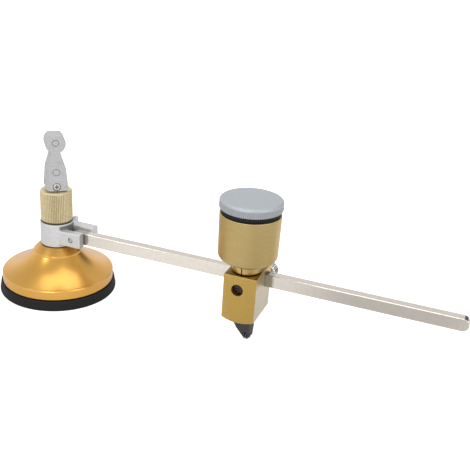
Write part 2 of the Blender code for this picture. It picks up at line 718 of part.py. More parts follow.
def make_slider_block():
    """The block that slides on the rod: square, with a bowed underside, cross slot and spindle bore."""
    half = BLOCK_WIDTH / 2
    bow = (half * half + BLOCK_SAG * BLOCK_SAG) / (2 * BLOCK_SAG)
    swing = math.asin(half / bow)
    centre = (0, BLOCK_CORNER_Z - BLOCK_SAG + bow)
    outline = [(half, BLOCK_TOP_Z), (-half, BLOCK_TOP_Z)]
    outline += arc(centre, bow, -math.pi / 2 - swing, -math.pi / 2 + swing, 2 * ARC_STEPS)
    place_of_block = (TURRET_X, 0, 0)
    block = plate("slider_block", outline, -BLOCK_BACK_Y, -BLOCK_FRONT_Y, parts, place_of_block, FACING_FRONT)
    round_edges(block, BLOCK_EDGE)
    slot_half_y = ROD_WIDTH / 2 + GAP
    slot_half_z = ROD_HEIGHT / 2 + GAP
    slot_low = (-half - OVERRUN, -slot_half_y, ROD_AXIS_Z - slot_half_z)
    slot_high = (half + OVERRUN, slot_half_y, ROD_AXIS_Z + slot_half_z)
    join(block, box("rod_slot", slot_low, slot_high, cutters, place_of_block), "DIFFERENCE")
    low = BLOCK_CORNER_Z - BLOCK_SAG - OVERRUN
    spindle_place = (TURRET_X, SPINDLE_Y, 0)
    bore = bar("spindle_bore", SPINDLE_RADIUS + GAP, low, BLOCK_TOP_Z + OVERRUN, cutters, spindle_place)
    join(block, bore, "DIFFERENCE")
    screw_place = (TURRET_X + SET_SCREW_OFFSET_X, 0, SET_SCREW_Z)
    tapped = bar("set_screw_bore", SET_SCREW_RADIUS + GAP, -SPINDLE_Y, -BLOCK_FRONT_Y + OVERRUN, cutters,
                 screw_place, FACING_FRONT)
    join(block, tapped, "DIFFERENCE")
    clamp_place = (TURRET_X + CLAMP_OFFSET_X, 0, clamp_z)
    clamp = bar("clamp_bore", CLAMP_RADIUS + GAP, 0, BLOCK_BACK_Y + OVERRUN, cutters, clamp_place, FACING_BACK)
    join(block, clamp, "DIFFERENCE")
    finish(block, dull_gold)


def make_set_screw():
    """The slotted screw in the block's front hole, which holds the spindle."""
    face = -BLOCK_FRONT_Y - SET_SCREW_DEPTH
    point = -SPINDLE_Y + SPINDLE_RADIUS + GAP
    profile = [
        (0, face),
        (SET_SCREW_RADIUS - GAP, face),
        (SET_SCREW_RADIUS, face - GAP),
        (SET_SCREW_RADIUS, point),
        (0, point),
    ]
    screw_place = (TURRET_X + SET_SCREW_OFFSET_X, 0, SET_SCREW_Z)
    screw = turned("set_screw", profile, parts, screw_place, FACING_FRONT, ROUND_COARSE)
    side = SET_SCREW_RADIUS + OVERRUN
    low = (-SLOT_WIDTH / 2, -side, face - SLOT_DEPTH)
    high = (SLOT_WIDTH / 2, side, face + OVERRUN)
    slot_turn = (FACING_FRONT[0], SLOT_TURN, 0)
    join(screw, box("set_screw_slot", low, high, cutters, screw_place, slot_turn), "DIFFERENCE")
    finish(screw, steel)


def make_spindle():
    """The spindle: it holds the cutter head in its lower socket and the handle on its upper end."""
    thread = HANDLE_SCREW_RADIUS + GAP
    thread_z = retainer_z + RETAINER_THICKNESS - HANDLE_SCREW_LENGTH - GAP
    socket_z = SPINDLE_FOOT_Z + SOCKET_DEPTH
    profile = [
        (0, thread_z),
        (thread, thread_z),
        (thread, spindle_top_z),
        (SPINDLE_RADIUS, spindle_top_z),
        (SPINDLE_RADIUS, SPINDLE_FOOT_Z),
        (SOCKET_RADIUS, SPINDLE_FOOT_Z),
        (SOCKET_RADIUS, socket_z),
        (0, socket_z),
    ]
    finish(turned("spindle", profile, parts, (TURRET_X, SPINDLE_Y, 0), steps=ROUND_COARSE), steel)


def make_neck_ring():
    """The split ring round the spindle between block and handle."""
    bore = SPINDLE_RADIUS + GAP
    top_z = ring_z + RING_HEIGHT
    edge = RING_EDGE
    profile = [
        (bore, top_z),
        (RING_RADIUS - edge, top_z),
        (RING_RADIUS, top_z - edge),
        (RING_RADIUS, ring_z + edge),
        (RING_RADIUS - edge, ring_z),
        (bore, ring_z),
    ]
    ring_place = (TURRET_X, SPINDLE_Y, 0)
    ring = turned("neck_ring", profile, parts, ring_place, closed=True)
    low = (-RING_SPLIT / 2, -RING_RADIUS - OVERRUN, ring_z - OVERRUN)
    high = (RING_SPLIT / 2, 0, top_z + OVERRUN)
    join(ring, box("ring_split", low, high, cutters, ring_place), "DIFFERENCE")
    finish(ring, dull_gold)


def make_handle_barrel():
    """The gold barrel that the hand holds. It turns on the spindle and is hollow under the cap."""
    floor_z = BARREL_FOOT_Z + BARREL_FLOOR
    corner = (BARREL_LOW_RADIUS - BARREL_ROUND, BARREL_FOOT_Z + BARREL_ROUND)
    boss_z = ring_z + RING_HEIGHT + GAP
    bore = SPINDLE_RADIUS + GAP
    profile = [
        (barrel_bore, barrel_top_z),
        (BARREL_TOP_RADIUS - BARREL_EDGE, barrel_top_z),
        (BARREL_TOP_RADIUS, barrel_top_z - BARREL_EDGE),
    ]
    profile += arc(corner, BARREL_ROUND, 0, -math.pi / 2)
    profile += [
        (BARREL_BOSS_RADIUS, BARREL_FOOT_Z),
        (BARREL_BOSS_RADIUS, boss_z),
        (bore, boss_z),
        (bore, floor_z),
        (barrel_bore, floor_z),
    ]
    finish(turned("handle_barrel", profile, parts, (TURRET_X, SPINDLE_Y, 0), closed=True), dull_gold)


def make_handle_washer():
    """The washer that keeps the handle on the spindle."""
    bore = HANDLE_SCREW_RADIUS + GAP
    top_z = retainer_z + RETAINER_THICKNESS
    profile = [(bore, top_z), (RETAINER_RADIUS, top_z), (RETAINER_RADIUS, retainer_z), (bore, retainer_z)]
    washer_place = (TURRET_X, SPINDLE_Y, 0)
    finish(turned("handle_washer", profile, parts, washer_place, closed=True, steps=ROUND_COARSE), steel)


def make_handle_screw():
    """The screw that holds the washer on the spindle's end, inside the barrel."""
    seat_z = retainer_z + RETAINER_THICKNESS + GAP
    top_z = seat_z + HANDLE_SCREW_HEAD_HEIGHT
    foot_z = seat_z - HANDLE_SCREW_LENGTH
    profile = [
        (0, top_z),
        (HANDLE_SCREW_HEAD_RADIUS - RING_EDGE, top_z),
        (HANDLE_SCREW_HEAD_RADIUS, top_z - RING_EDGE),
        (HANDLE_SCREW_HEAD_RADIUS, seat_z),
        (HANDLE_SCREW_RADIUS, seat_z),
        (HANDLE_SCREW_RADIUS, foot_z),
        (0, foot_z),
    ]
    screw_place = (TURRET_X, SPINDLE_Y, 0)
    screw = turned("handle_screw", profile, parts, screw_place, steps=ROUND_COARSE)
    side = HANDLE_SCREW_HEAD_RADIUS + OVERRUN
    low = (-side, -SLOT_WIDTH / 2, top_z - SLOT_DEPTH)
    high = (side, SLOT_WIDTH / 2, top_z + OVERRUN)
    join(screw, box("handle_screw_slot", low, high, cutters, screw_place), "DIFFERENCE")
    finish(screw, steel)


def make_seal_ring():
    """The black rubber ring under the cap."""
    bore = cap_spigot_radius + GAP
    top_z = seal_z + SEAL_HEIGHT
    edge = BARREL_EDGE
    profile = [
        (bore, top_z),
        (seal_radius - edge, top_z),
        (seal_radius, top_z - edge),
        (seal_radius, seal_z + edge),
        (seal_radius - edge, seal_z),
        (bore, seal_z),
    ]
    finish(turned("seal_ring", profile, parts, (TURRET_X, SPINDLE_Y, 0), closed=True), rubber)


def make_cap():
    """The grey screw cap: knurled edge, rounded top and a hollow threaded spigot in the barrel."""
    top_z = cap_z + CAP_HEIGHT
    spigot_z = cap_z - CAP_SPIGOT_LENGTH
    hollow = cap_spigot_radius - CAP_SPIGOT_WALL
    outer = cap_radius + MERGE
    profile = [(0, top_z)]
    profile += arc((outer - CAP_ROUND, top_z - CAP_ROUND), CAP_ROUND, math.pi / 2, 0, ARC_STEPS - 2)
    profile += [
        (outer, cap_z + CAP_EDGE),
        (outer - CAP_EDGE, cap_z),
        (cap_spigot_radius, cap_z),
        (cap_spigot_radius, spigot_z),
        (hollow, spigot_z),
        (hollow, top_z - CAP_CROWN),
        (0, top_z - CAP_CROWN),
    ]
    cap_place = (TURRET_X, SPINDLE_Y, 0)
    cap = turned("cap", profile, parts, cap_place, steps=CAP_TEETH)
    outline = star(cap_radius, CAP_KNURL_DEPTH, CAP_TEETH)
    knurl = plate("cap_knurl", outline, spigot_z - OVERRUN, top_z + OVERRUN, cutters, cap_place)
    join(cap, knurl, "INTERSECT")
    finish(cap, cap_grey)


def make_clamp_screw():
    """The knurled thumb screw behind the block, whose tip bears on the rod's back."""
    tip = ROD_WIDTH / 2 + GAP
    collar = BLOCK_BACK_Y + GAP
    head = collar + CLAMP_COLLAR_LENGTH
    end = head + CLAMP_HEAD_LENGTH
    edge = CLAMP_HEAD_CHAMFER
    outer = CLAMP_HEAD_RADIUS + MERGE
    screw_place = (TURRET_X + CLAMP_OFFSET_X, 0, clamp_z)
    profile = [
        (0, end),
        (outer - edge, end),
        (outer, end - edge),
        (outer, head + edge),
        (outer - edge, head),
        (CLAMP_COLLAR_RADIUS, head),
        (CLAMP_COLLAR_RADIUS, collar),
        (CLAMP_RADIUS, collar),
        (CLAMP_RADIUS, tip + CLAMP_TIP_LENGTH),
        (CLAMP_TIP_RADIUS, tip + CLAMP_TIP_LENGTH),
        (CLAMP_TIP_RADIUS, tip),
        (0, tip),
    ]
    screw = turned("clamp_screw", profile, parts, screw_place, FACING_BACK, CLAMP_TEETH)
    outline = star(CLAMP_HEAD_RADIUS, KNURL_DEPTH, CLAMP_TEETH)
    knurl = plate("clamp_knurl", outline, tip - OVERRUN, end + OVERRUN, cutters, screw_place, FACING_BACK)
    join(screw, knurl, "INTERSECT")
    finish(screw, nickel)


def make_cutter_head():
    """The black wedge with its shank in the spindle's socket. The wheel runs in the slot of its tip."""
    tip_left = WHEEL_OFFSET_X - CUTTER_TIP_HALF_WIDTH
    tip_right = WHEEL_OFFSET_X + CUTTER_TIP_HALF_WIDTH
    step_x = CUTTER_RIGHT - CUTTER_STEP_IN
    step_z = CUTTER_STEP_Z - CUTTER_STEP_DROP
    front = [
        (-CUTTER_LEFT, head_top_z),
        (-CUTTER_LEFT, CUTTER_LEFT_Z),
        (tip_left, CUTTER_TIP_Z),
        (tip_right, CUTTER_TIP_Z),
        (step_x, step_z - CUTTER_STEP_DROP),
        (step_x, step_z),
        (CUTTER_RIGHT - GAP, step_z),
        (CUTTER_RIGHT, CUTTER_STEP_Z),
        (CUTTER_RIGHT, head_top_z),
    ]
    half = CUTTER_DEPTH / 2
    tip_half = CUTTER_TIP_DEPTH / 2
    head_place = (TURRET_X, SPINDLE_Y, 0)
    head = plate("cutter_head", front, -half, half, parts, head_place, FACING_FRONT)
    side = [
        (-half - OVERRUN, head_top_z + OVERRUN),
        (-half - OVERRUN, CUTTER_TAPER_Z),
        (-half, CUTTER_TAPER_Z),
        (-tip_half, CUTTER_TIP_Z),
        (-tip_half, 0),
        (tip_half, 0),
        (tip_half, CUTTER_TIP_Z),
        (half, CUTTER_TAPER_Z),
        (half + OVERRUN, CUTTER_TAPER_Z),
        (half + OVERRUN, head_top_z + OVERRUN),
    ]
    low = -CUTTER_LEFT - OVERRUN
    high = CUTTER_RIGHT + OVERRUN
    side_turn = (math.radians(90), 0, math.radians(90))
    join(head, plate("head_taper", side, low, high, cutters, head_place, side_turn), "INTERSECT")
    shank_low = head_top_z - OVERRUN
    shank_high = SPINDLE_FOOT_Z + SOCKET_DEPTH - GAP
    shank = bar("head_shank", CUTTER_SHANK_RADIUS, shank_low, shank_high, cutters, head_place)
    join(head, shank, "UNION")
    reach = max(half, WHEEL_RADIUS) + OVERRUN
    slot_low = (WHEEL_OFFSET_X - wheel_slot / 2, -reach, -OVERRUN)
    slot_high = (WHEEL_OFFSET_X + wheel_slot / 2, reach, 2 * WHEEL_RADIUS + GAP)
    join(head, box("wheel_slot", slot_low, slot_high, cutters, head_place), "DIFFERENCE")
    axle_place = (TURRET_X, SPINDLE_Y, WHEEL_RADIUS)
    hole = bar("axle_hole", AXLE_RADIUS + GAP, low, high, cutters, axle_place, FACING_RIGHT)
    join(head, hole, "DIFFERENCE")
    finish(head, plastic)


def make_wheel_axle():
    """The pin through the tip on which the wheel turns."""
    slope = (CUTTER_LEFT + WHEEL_OFFSET_X - CUTTER_TIP_HALF_WIDTH) / (CUTTER_LEFT_Z - CUTTER_TIP_Z)
    left = WHEEL_OFFSET_X - CUTTER_TIP_HALF_WIDTH - slope * (WHEEL_RADIUS - CUTTER_TIP_Z) + AXLE_RECESS
    right = CUTTER_RIGHT - CUTTER_STEP_IN - AXLE_RECESS
    axle_place = (TURRET_X, SPINDLE_Y, WHEEL_RADIUS)
    finish(bar("wheel_axle", AXLE_RADIUS, left, right, parts, axle_place, FACING_RIGHT), steel)


def make_cutting_wheel():
    """The hard wheel, ground to an edge all round."""
    half = WHEEL_THICKNESS / 2
    rim = WHEEL_RIM / 2
    bore = AXLE_RADIUS + GAP
    shoulder = WHEEL_RADIUS - WHEEL_EDGE_DEPTH
    profile = [(bore, half), (shoulder, half), (WHEEL_RADIUS, rim), (WHEEL_RADIUS, -rim)]
    profile += [(shoulder, -half), (bore, -half)]
    wheel_place = (TURRET_X + WHEEL_OFFSET_X, SPINDLE_Y, WHEEL_RADIUS)
    wheel = turned("cutting_wheel", profile, parts, wheel_place, FACING_RIGHT, ROUND_COARSE, closed=True)
    finish(wheel, carbide)


make_suction_disc()
make_draw_plate()
make_base_bell()
make_spigot()
make_return_spring()
make_swivel_washer()
make_yoke()
make_rod_pin()
make_rod()
make_knurled_nut()
make_stem()
make_lever()
make_lever_screw()
make_slider_block()
make_set_screw()
make_spindle()
make_neck_ring()
make_handle_barrel()
make_handle_washer()
make_handle_screw()
make_seal_ring()
make_cap()
make_clamp_screw()
make_cutter_head()
make_wheel_axle()
make_cutting_wheel()
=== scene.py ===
"""Circle cutter for glass, dressed piece by piece in the order in which it is put together.

Metres, +Z up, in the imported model's frame. Sizes are written in millimetres and brought to metres by MM.
"""
import json
import math

import bmesh
import bpy
import numpy as np
from mathutils import Matrix, Vector


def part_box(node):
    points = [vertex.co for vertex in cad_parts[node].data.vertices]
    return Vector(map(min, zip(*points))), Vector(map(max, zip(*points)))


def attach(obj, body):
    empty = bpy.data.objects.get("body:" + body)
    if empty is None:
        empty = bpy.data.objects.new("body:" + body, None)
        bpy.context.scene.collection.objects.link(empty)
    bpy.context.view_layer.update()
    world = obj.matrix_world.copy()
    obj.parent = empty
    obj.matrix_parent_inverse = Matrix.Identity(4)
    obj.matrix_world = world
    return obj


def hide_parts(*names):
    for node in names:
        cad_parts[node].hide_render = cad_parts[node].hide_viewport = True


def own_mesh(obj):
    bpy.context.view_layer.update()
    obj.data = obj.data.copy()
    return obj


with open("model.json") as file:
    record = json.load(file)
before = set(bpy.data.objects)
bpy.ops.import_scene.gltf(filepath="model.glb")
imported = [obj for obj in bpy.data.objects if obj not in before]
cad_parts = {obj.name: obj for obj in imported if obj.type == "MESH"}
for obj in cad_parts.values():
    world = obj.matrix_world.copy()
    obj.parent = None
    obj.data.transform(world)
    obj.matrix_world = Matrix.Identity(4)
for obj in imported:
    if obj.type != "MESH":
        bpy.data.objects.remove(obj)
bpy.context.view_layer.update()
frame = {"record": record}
MM = 0.001


# Studio: a pale floor under a white surround that is dimmer overhead and has a dark gap behind on the right,
# a broad soft lamp above the base and weaker ones at the front and right. Metal sees brighter and darker
# patches in the floor. The camera looks down from the front.
scene = bpy.context.scene
scene.view_settings.view_transform = "Standard"

LENS = 59.04
CAMERA_PLACE = Vector((228.45, -347.39, 215.98)) * MM
CAMERA_WAY = Vector((-0.3005, 0.8653, -0.4013)).normalized()
CAMERA_ROLL = math.radians(3.96)

camera_data = bpy.data.cameras.new("camera")
camera_data.lens = LENS
camera_data.sensor_width = 36
camera_data.clip_start = 0.01
camera_data.clip_end = 20
camera = bpy.data.objects.new("camera", camera_data)
scene.collection.objects.link(camera)
level_right = CAMERA_WAY.cross(Vector((0, 0, 1))).normalized()
level_up = level_right.cross(CAMERA_WAY)
rolled_right = level_right * math.cos(CAMERA_ROLL) + level_up * math.sin(CAMERA_ROLL)
rolled_up = level_up * math.cos(CAMERA_ROLL) - level_right * math.sin(CAMERA_ROLL)
turned_way = Matrix((rolled_right, rolled_up, -CAMERA_WAY)).transposed()
camera.matrix_world = Matrix.Translation(CAMERA_PLACE) @ turned_way.to_4x4()
scene.camera = camera


def put(tree, kind, sockets, **settings):
    """Adds a shader node, whose sockets get a plain value or a link from an output, and gives its outputs."""
    made = tree.nodes.new("ShaderNode" + kind)
    for label, value in settings.items():
        setattr(made, label, value)
    for label, value in sockets.items():
        if isinstance(value, bpy.types.NodeSocket):
            tree.links.new(value, made.inputs[label])
        else:
            made.inputs[label].default_value = value
    return made.outputs


def maths(tree, operation, *values):
    """What a maths node makes of values or outputs."""
    return put(tree, "Math", dict(enumerate(values)), operation=operation)["Value"]


def ranged(tree, value, low, high, at_low=0.0, at_high=1.0, kind="LINEAR"):
    """A value that goes from at_low to at_high as the given one goes from low to high, and stays there."""
    sockets = {"Value": value, "From Min": low, "From Max": high, "To Min": at_low, "To Max": at_high}
    return put(tree, "MapRange", sockets, interpolation_type=kind)["Result"]


def mixed(tree, share, first, second, kind="FLOAT"):
    """The first value or colour, going over to the second by a share of 0 to 1."""
    return put(tree, "Mix", {"Factor": share, "A": first, "B": second}, data_type=kind)["Result"]


WORLD_LOW = 0.95
WORLD_HIGH = 0.58
WORLD_HIGH_FROM = 0.75
WORLD_DIFFUSE = 0.65
GAP_WAY = Vector((0.39, 0.865, 0.29)).normalized()
GAP_EDGE, GAP_CORE = 0.945, 0.985
GAP_SHARE = 0.12

world = bpy.data.worlds.new("studio")
world.use_nodes = True
scene.world = world
tree = world.node_tree
way = put(tree, "TexCoord", {})["Generated"]
height = put(tree, "SeparateXYZ", {"Vector": way})["Z"]
dimmed = ranged(tree, height, 0.0, WORLD_HIGH_FROM, WORLD_LOW, WORLD_HIGH, "SMOOTHSTEP")
toward_gap = put(tree, "VectorMath", {0: way, 1: GAP_WAY}, operation="DOT_PRODUCT")["Value"]
gap = ranged(tree, toward_gap, GAP_EDGE, GAP_CORE, 1.0, GAP_SHARE, "SMOOTHSTEP")
rays = put(tree, "LightPath", {})
strength = mixed(tree, rays["Is Diffuse Ray"], maths(tree, "MULTIPLY", dimmed, gap), WORLD_DIFFUSE)
strength = mixed(tree, rays["Is Camera Ray"], strength, 1.0)
surround = tree.nodes["Background"].inputs
surround["Color"].default_value = (1, 1, 1, 1)
tree.links.new(strength, surround["Strength"])

LAMPS = (
    ("overhead_lamp", (0, 130, 760), (0, 90, 0), 600, 1.35),
    ("front_lamp", (-320, -520, 520), (40, 0, 40), 160, 0.5),
    ("key_lamp", (160, -640, 330), (110, -60, 0), 300, 0.8),
    ("right_lamp", (620, -200, 300), (80, 0, 30), 300, 0.4),
)
for lamp_name, spot, target, size, watts in LAMPS:
    lamp_data = bpy.data.lights.new(lamp_name, "AREA")
    lamp_data.shape = "SQUARE"
    lamp_data.size = size * MM
    lamp_data.energy = watts
    lamp = bpy.data.objects.new(lamp_name, lamp_data)
    scene.collection.objects.link(lamp)
    lamp.location = Vector(spot) * MM
    lamp.rotation_euler = (Vector(target) * MM - lamp.location).to_track_quat("-Z", "Y").to_euler()
    lamp.visible_camera = False

FLOOR_REACH = 6.0
FLOOR_GLOW = 0.7
FLOOR_GLOW_IN_METAL = 0.06
FLOOR_PALE = 0.72
BRIGHT_PATCHES = (((40, -78, 0), 25, 65, 0.12), ((185, 130, 0), 30, 90, 0.45))
DARK_PATCH = ((190, -76, 0), 25, 75, 0.66)

floor_mesh = bpy.data.meshes.new("floor")
floor_corners = np.array([(-1, -1, 0), (1, -1, 0), (1, 1, 0), (-1, 1, 0)]) * FLOOR_REACH
floor_mesh.from_pydata(floor_corners.tolist(), [], [(0, 1, 2, 3)])
floor = bpy.data.objects.new("floor", floor_mesh)
scene.collection.objects.link(floor)

pale = bpy.data.materials.new("pale_floor")
pale.use_nodes = True
tree = pale.node_tree
shader = tree.nodes["Principled BSDF"]
shader.inputs["Roughness"].default_value = 0.9
shader.inputs["Specular IOR Level"].default_value = 0.1
rays = put(tree, "LightPath", {})
place = put(tree, "TexCoord", {})["Object"]


def floor_patch(middle, near, far, inside, outside):
    """A value that goes from inside to outside between two distances in mm from a point of the floor."""
    distance = put(tree, "VectorMath", {0: place, 1: Vector(middle) * MM}, operation="DISTANCE")["Value"]
    return ranged(tree, distance, near * MM, far * MM, inside, outside, "SMOOTHSTEP")


in_metal = FLOOR_GLOW_IN_METAL
for middle, near, far, strength in BRIGHT_PATCHES:
    in_metal = maths(tree, "ADD", in_metal, floor_patch(middle, near, far, strength, 0.0))
seen = maths(tree, "ADD", rays["Is Camera Ray"], rays["Is Transmission Ray"])
direct = maths(tree, "MULTIPLY", seen, FLOOR_GLOW)
level = maths(tree, "MULTIPLY_ADD", rays["Is Glossy Ray"], in_metal, direct)
glow = put(tree, "Emission", {"Strength": level})["Emission"]
middle, near, far, share = DARK_PATCH
darker = floor_patch(middle, near, far, share * FLOOR_PALE, FLOOR_PALE)
tree.links.new(mixed(tree, rays["Is Glossy Ray"], FLOOR_PALE, darker), shader.inputs["Base Color"])
both = put(tree, "AddShader", {0: shader.outputs["BSDF"], 1: glow})["Shader"]
tree.links.new(both, tree.nodes["Material Output"].inputs["Surface"])
floor_mesh.materials.append(pale)


# Suction disc: black moulded rubber with a slightly tapered side, held by the draw plate in its pocket.
# Its lip, the pocket's rim and the side carry the soft edges of a moulding.
STRAIGHT = 1e-4
SIDE_SHARE = 0.98


def filleted(corners, closed=False, steps=6):
    """Points of an outline whose corners (across, along, radius in mm) become arcs that touch both sides.

    An arc's point is its centre plus both radii to the arc's ends, weighed by the sine of the angle left to
    each. Returns the points in metres and a weight that is 1 in the middle of each arc, where wear and painted
    edge light show.
    A corner that is STRAIGHT but for that many radians stays a point. An arc takes at most SIDE_SHARE of a
    side, and half of that where the corner at the side's other end is rounded too.
    """
    given = np.array(corners, float) * MM
    points, weights = [], []
    for i, (across, along, radius) in enumerate(given):
        corner = np.array((across, along))
        before, after = given[i - 1], given[(i + 1) % len(given)]
        sharp = radius == 0 or (not closed and i in (0, len(given) - 1))
        if not sharp:
            back, ahead = before[:2] - corner, after[:2] - corner
            reach_back, reach_ahead = np.linalg.norm(back), np.linalg.norm(ahead)
            back, ahead = back / reach_back, ahead / reach_ahead
            half = math.acos(max(-1, min(1, float(back @ ahead)))) / 2
        if sharp or half > math.pi / 2 - STRAIGHT:
            points.append(corner[None])
            weights.append(np.zeros(1))
            continue
        share_back = SIDE_SHARE if before[2] == 0 else SIDE_SHARE / 2
        share_ahead = SIDE_SHARE if after[2] == 0 else SIDE_SHARE / 2
        reach = min(radius / math.tan(half), share_back * reach_back, share_ahead * reach_ahead)
        middle = back + ahead
        centre = corner + middle / np.linalg.norm(middle) * reach / math.cos(half)
        first, last = corner + back * reach - centre, corner + ahead * reach - centre
        turn = math.pi - 2 * half
        share = np.linspace(0, 1, steps + 1)[:, None]
        arc = centre + (np.sin((1 - share) * turn) * first + np.sin(share * turn) * last) / math.sin(turn)
        points.append(arc)
        weights.append(np.sin(np.pi * share[:, 0]))
    return np.concatenate(points), np.concatenate(weights)


def arc_of(centre, radius, start, end, steps=24):
    """Points in mm of a circle from one angle to another, each with no rounding of its own."""
    angle = np.radians(np.linspace(start, end, steps + 1))
    ring = np.stack([centre[0] + radius * np.cos(angle), centre[1] + radius * np.sin(angle), 0 * angle], 1)
    return [tuple(point) for point in ring]


def sagging(start, end, radius, steps=40):
    """Points in mm of an arc whose centre lies to the right of the way from its start to its end."""
    start, end = np.array(start, float), np.array(end, float)
    along = (end - start) / np.linalg.norm(end - start)
    rise = math.sqrt(radius**2 - np.sum((end - start) ** 2) / 4)
    centre = (start + end) / 2 + np.array((along[1], -along[0])) * rise
    first = math.degrees(math.atan2(*(start - centre)[::-1]))
    last = math.degrees(math.atan2(*(end - centre)[::-1]))
    return arc_of(centre, radius, first, first + (last - first + 180) % 360 - 180, steps)


UPRIGHT = np.eye(3)
TO_FRONT = np.array(((1, 0, 0), (0, 0, -1), (0, 1, 0)))
TO_BACK = np.array(((1, 0, 0), (0, 0, 1), (0, -1, 0)))
TO_RIGHT = np.array(((0, 0, 1), (0, 1, 0), (-1, 0, 0)))
CREASE = math.radians(38)


def shown(name, points, faces, **weights):
    """A mesh object at the origin from points in metres, with smooth sides and one attribute per weight."""
    mesh = bpy.data.meshes.new(name)
    mesh.from_pydata(points.tolist(), [], faces)
    mesh.shade_smooth()
    mesh.set_sharp_from_angle(angle=CREASE)
    for label, values in weights.items():
        attribute = mesh.attributes.new(label, "FLOAT", "POINT")
        attribute.data.foreach_set("value", np.ascontiguousarray(values, np.float32))
    piece = bpy.data.objects.new(name, mesh)
    scene.collection.objects.link(piece)
    return piece


def quads(rows, columns, close_rows=False):
    """The faces of a grid of rows by columns points whose columns close on themselves."""
    row = np.arange(rows if close_rows else rows - 1)[:, None]
    column = np.arange(columns)[None]
    below, beside = (row + 1) % rows, (column + 1) % columns
    corners = [row * columns + column, below * columns + column]
    corners += [below * columns + beside, row * columns + beside]
    return np.stack(np.broadcast_arrays(*corners), -1).reshape(-1, 4)


def turned(name, profile, centre=(0, 0, 0), facing=UPRIGHT, steps=192, closed=False, teeth=None):
    """A turned piece: point (radius, height) of the profile and an angle give (r cos a, r sin a, height).

    The profile runs from the top's middle down its outer side, or round a bore where it is closed. Teeth take
    radius, height and angle and give the cut radius. A profile that starts or ends on the axis gets a pole.
    """
    outline, wear = profile
    top_pole = not closed and outline[0, 0] == 0
    low_pole = not closed and outline[-1, 0] == 0
    rows = outline[int(top_pole) : len(outline) - int(low_pole)]
    row_wear = wear[int(top_pole) : len(outline) - int(low_pole)]
    angle = np.linspace(0, 2 * np.pi, steps, endpoint=False)
    radius, height = rows[:, :1] + 0 * angle, rows[:, 1:] + 0 * angle
    full = radius
    if teeth:
        radius = teeth(radius, height, angle[None] + 0 * radius)
    grid = np.stack([radius * np.cos(angle), radius * np.sin(angle), height], -1).reshape(-1, 3)
    faces = quads(len(rows), steps, closed).tolist()
    # The depth cut by the teeth, which the finish turns into painted shade in their roots.
    groove = (full - radius).ravel() / MM
    edge = np.repeat(row_wear, steps)
    ring = np.arange(steps)
    beside = (ring + 1) % steps
    if top_pole:
        faces += np.stack([ring, beside, 0 * ring + len(grid)], 1)[:, [2, 0, 1]].tolist()
        grid = np.vstack([grid, (0, 0, outline[0, 1])])
    if low_pole:
        last = (len(rows) - 1) * steps
        faces += np.stack([last + beside, last + ring, 0 * ring + len(grid)], 1).tolist()
        grid = np.vstack([grid, (0, 0, outline[-1, 1])])
    spare = len(grid) - len(edge)
    edge, groove = np.append(edge, np.zeros(spare)), np.append(groove, np.zeros(spare))
    placed = grid @ np.array(facing).T + np.array(centre) * MM
    return shown(name, placed, faces, edge=edge, groove=groove)


def node_group(name, inputs, outputs):
    """A shader node group with named sockets: inputs are (name, type, value) and outputs (name, type)."""
    group = bpy.data.node_groups.new(name, "ShaderNodeTree")
    for label, kind, value in inputs:
        socket = group.interface.new_socket(label, in_out="INPUT", socket_type=kind)
        if value is not None:
            socket.default_value = value
    for label, kind in outputs:
        group.interface.new_socket(label, in_out="OUTPUT", socket_type=kind)
    return group, group.nodes.new("NodeGroupInput").outputs, group.nodes.new("NodeGroupOutput").inputs


def speckle_group():
    """Mottling: noise of several octaves whose largest spots are Size across, stretched over 0 to 1."""
    inputs = [("Vector", "NodeSocketVector", None), ("Size", "NodeSocketFloat", MM)]
    group, given, result = node_group("mottling", inputs, [("Value", "NodeSocketFloat")])
    scale = maths(group, "DIVIDE", 1.0, given["Size"])
    sockets = {"Vector": given["Vector"], "Scale": scale, "Detail": 5, "Roughness": 0.62}
    spots = put(group, "TexNoise", sockets)["Fac"]
    group.links.new(ranged(group, spots, 0.3, 0.7), result["Value"])
    return group


def lathe_group():
    """Turning marks: noise that reads only the distance from the axis and the height, so it runs in rings."""
    inputs = [("Vector", "NodeSocketVector", None), ("Pitch", "NodeSocketFloat", 0.3 * MM)]
    group, given, result = node_group("turning_marks", inputs, [("Value", "NodeSocketFloat")])
    parts = put(group, "SeparateXYZ", {"Vector": given["Vector"]})
    flat = put(group, "CombineXYZ", {"X": parts["X"], "Y": parts["Y"]})["Vector"]
    distance = put(group, "VectorMath", {0: flat}, operation="LENGTH")["Value"]
    drift = put(group, "VectorMath", {0: flat, "Scale": 0.05}, operation="SCALE")["Vector"]
    ring = put(group, "CombineXYZ", {"X": distance, "Z": parts["Z"]})["Vector"]
    read = put(group, "VectorMath", {0: ring, 1: drift}, operation="ADD")["Vector"]
    scale = maths(group, "DIVIDE", 1.0, given["Pitch"])
    noise = put(group, "TexNoise", {"Vector": read, "Scale": scale, "Detail": 3})
    group.links.new(noise["Fac"], result["Value"])
    return group


def mottled(tree, place, size):
    """The mottling at a place, with spots of a size in mm."""
    return put(tree, "Group", {"Vector": place, "Size": size * MM}, node_tree=mottling)["Value"]


def edge_group():
    """Edges for wear and painted edge light: the mesh's edge weight, broken up by mottling, as a mask from 0 to
    1.
    """
    inputs = [("Vector", "NodeSocketVector", None), ("Amount", "NodeSocketFloat", 0.5)]
    group, given, result = node_group("edges_worn_and_lit", inputs, [("Mask", "NodeSocketFloat")])
    weight = put(group, "Attribute", {}, attribute_name="edge")["Fac"]
    broken = maths(group, "MULTIPLY", weight, mottled(group, given["Vector"], 1.5))
    mask = put(group, "Math", {0: broken, 1: given["Amount"]}, operation="MULTIPLY", use_clamp=True)["Value"]
    group.links.new(mask, result["Mask"])
    return group


mottling = speckle_group()
turning_marks = lathe_group()
edges_worn_and_lit = edge_group()
SHADE_SHARE = 0.3


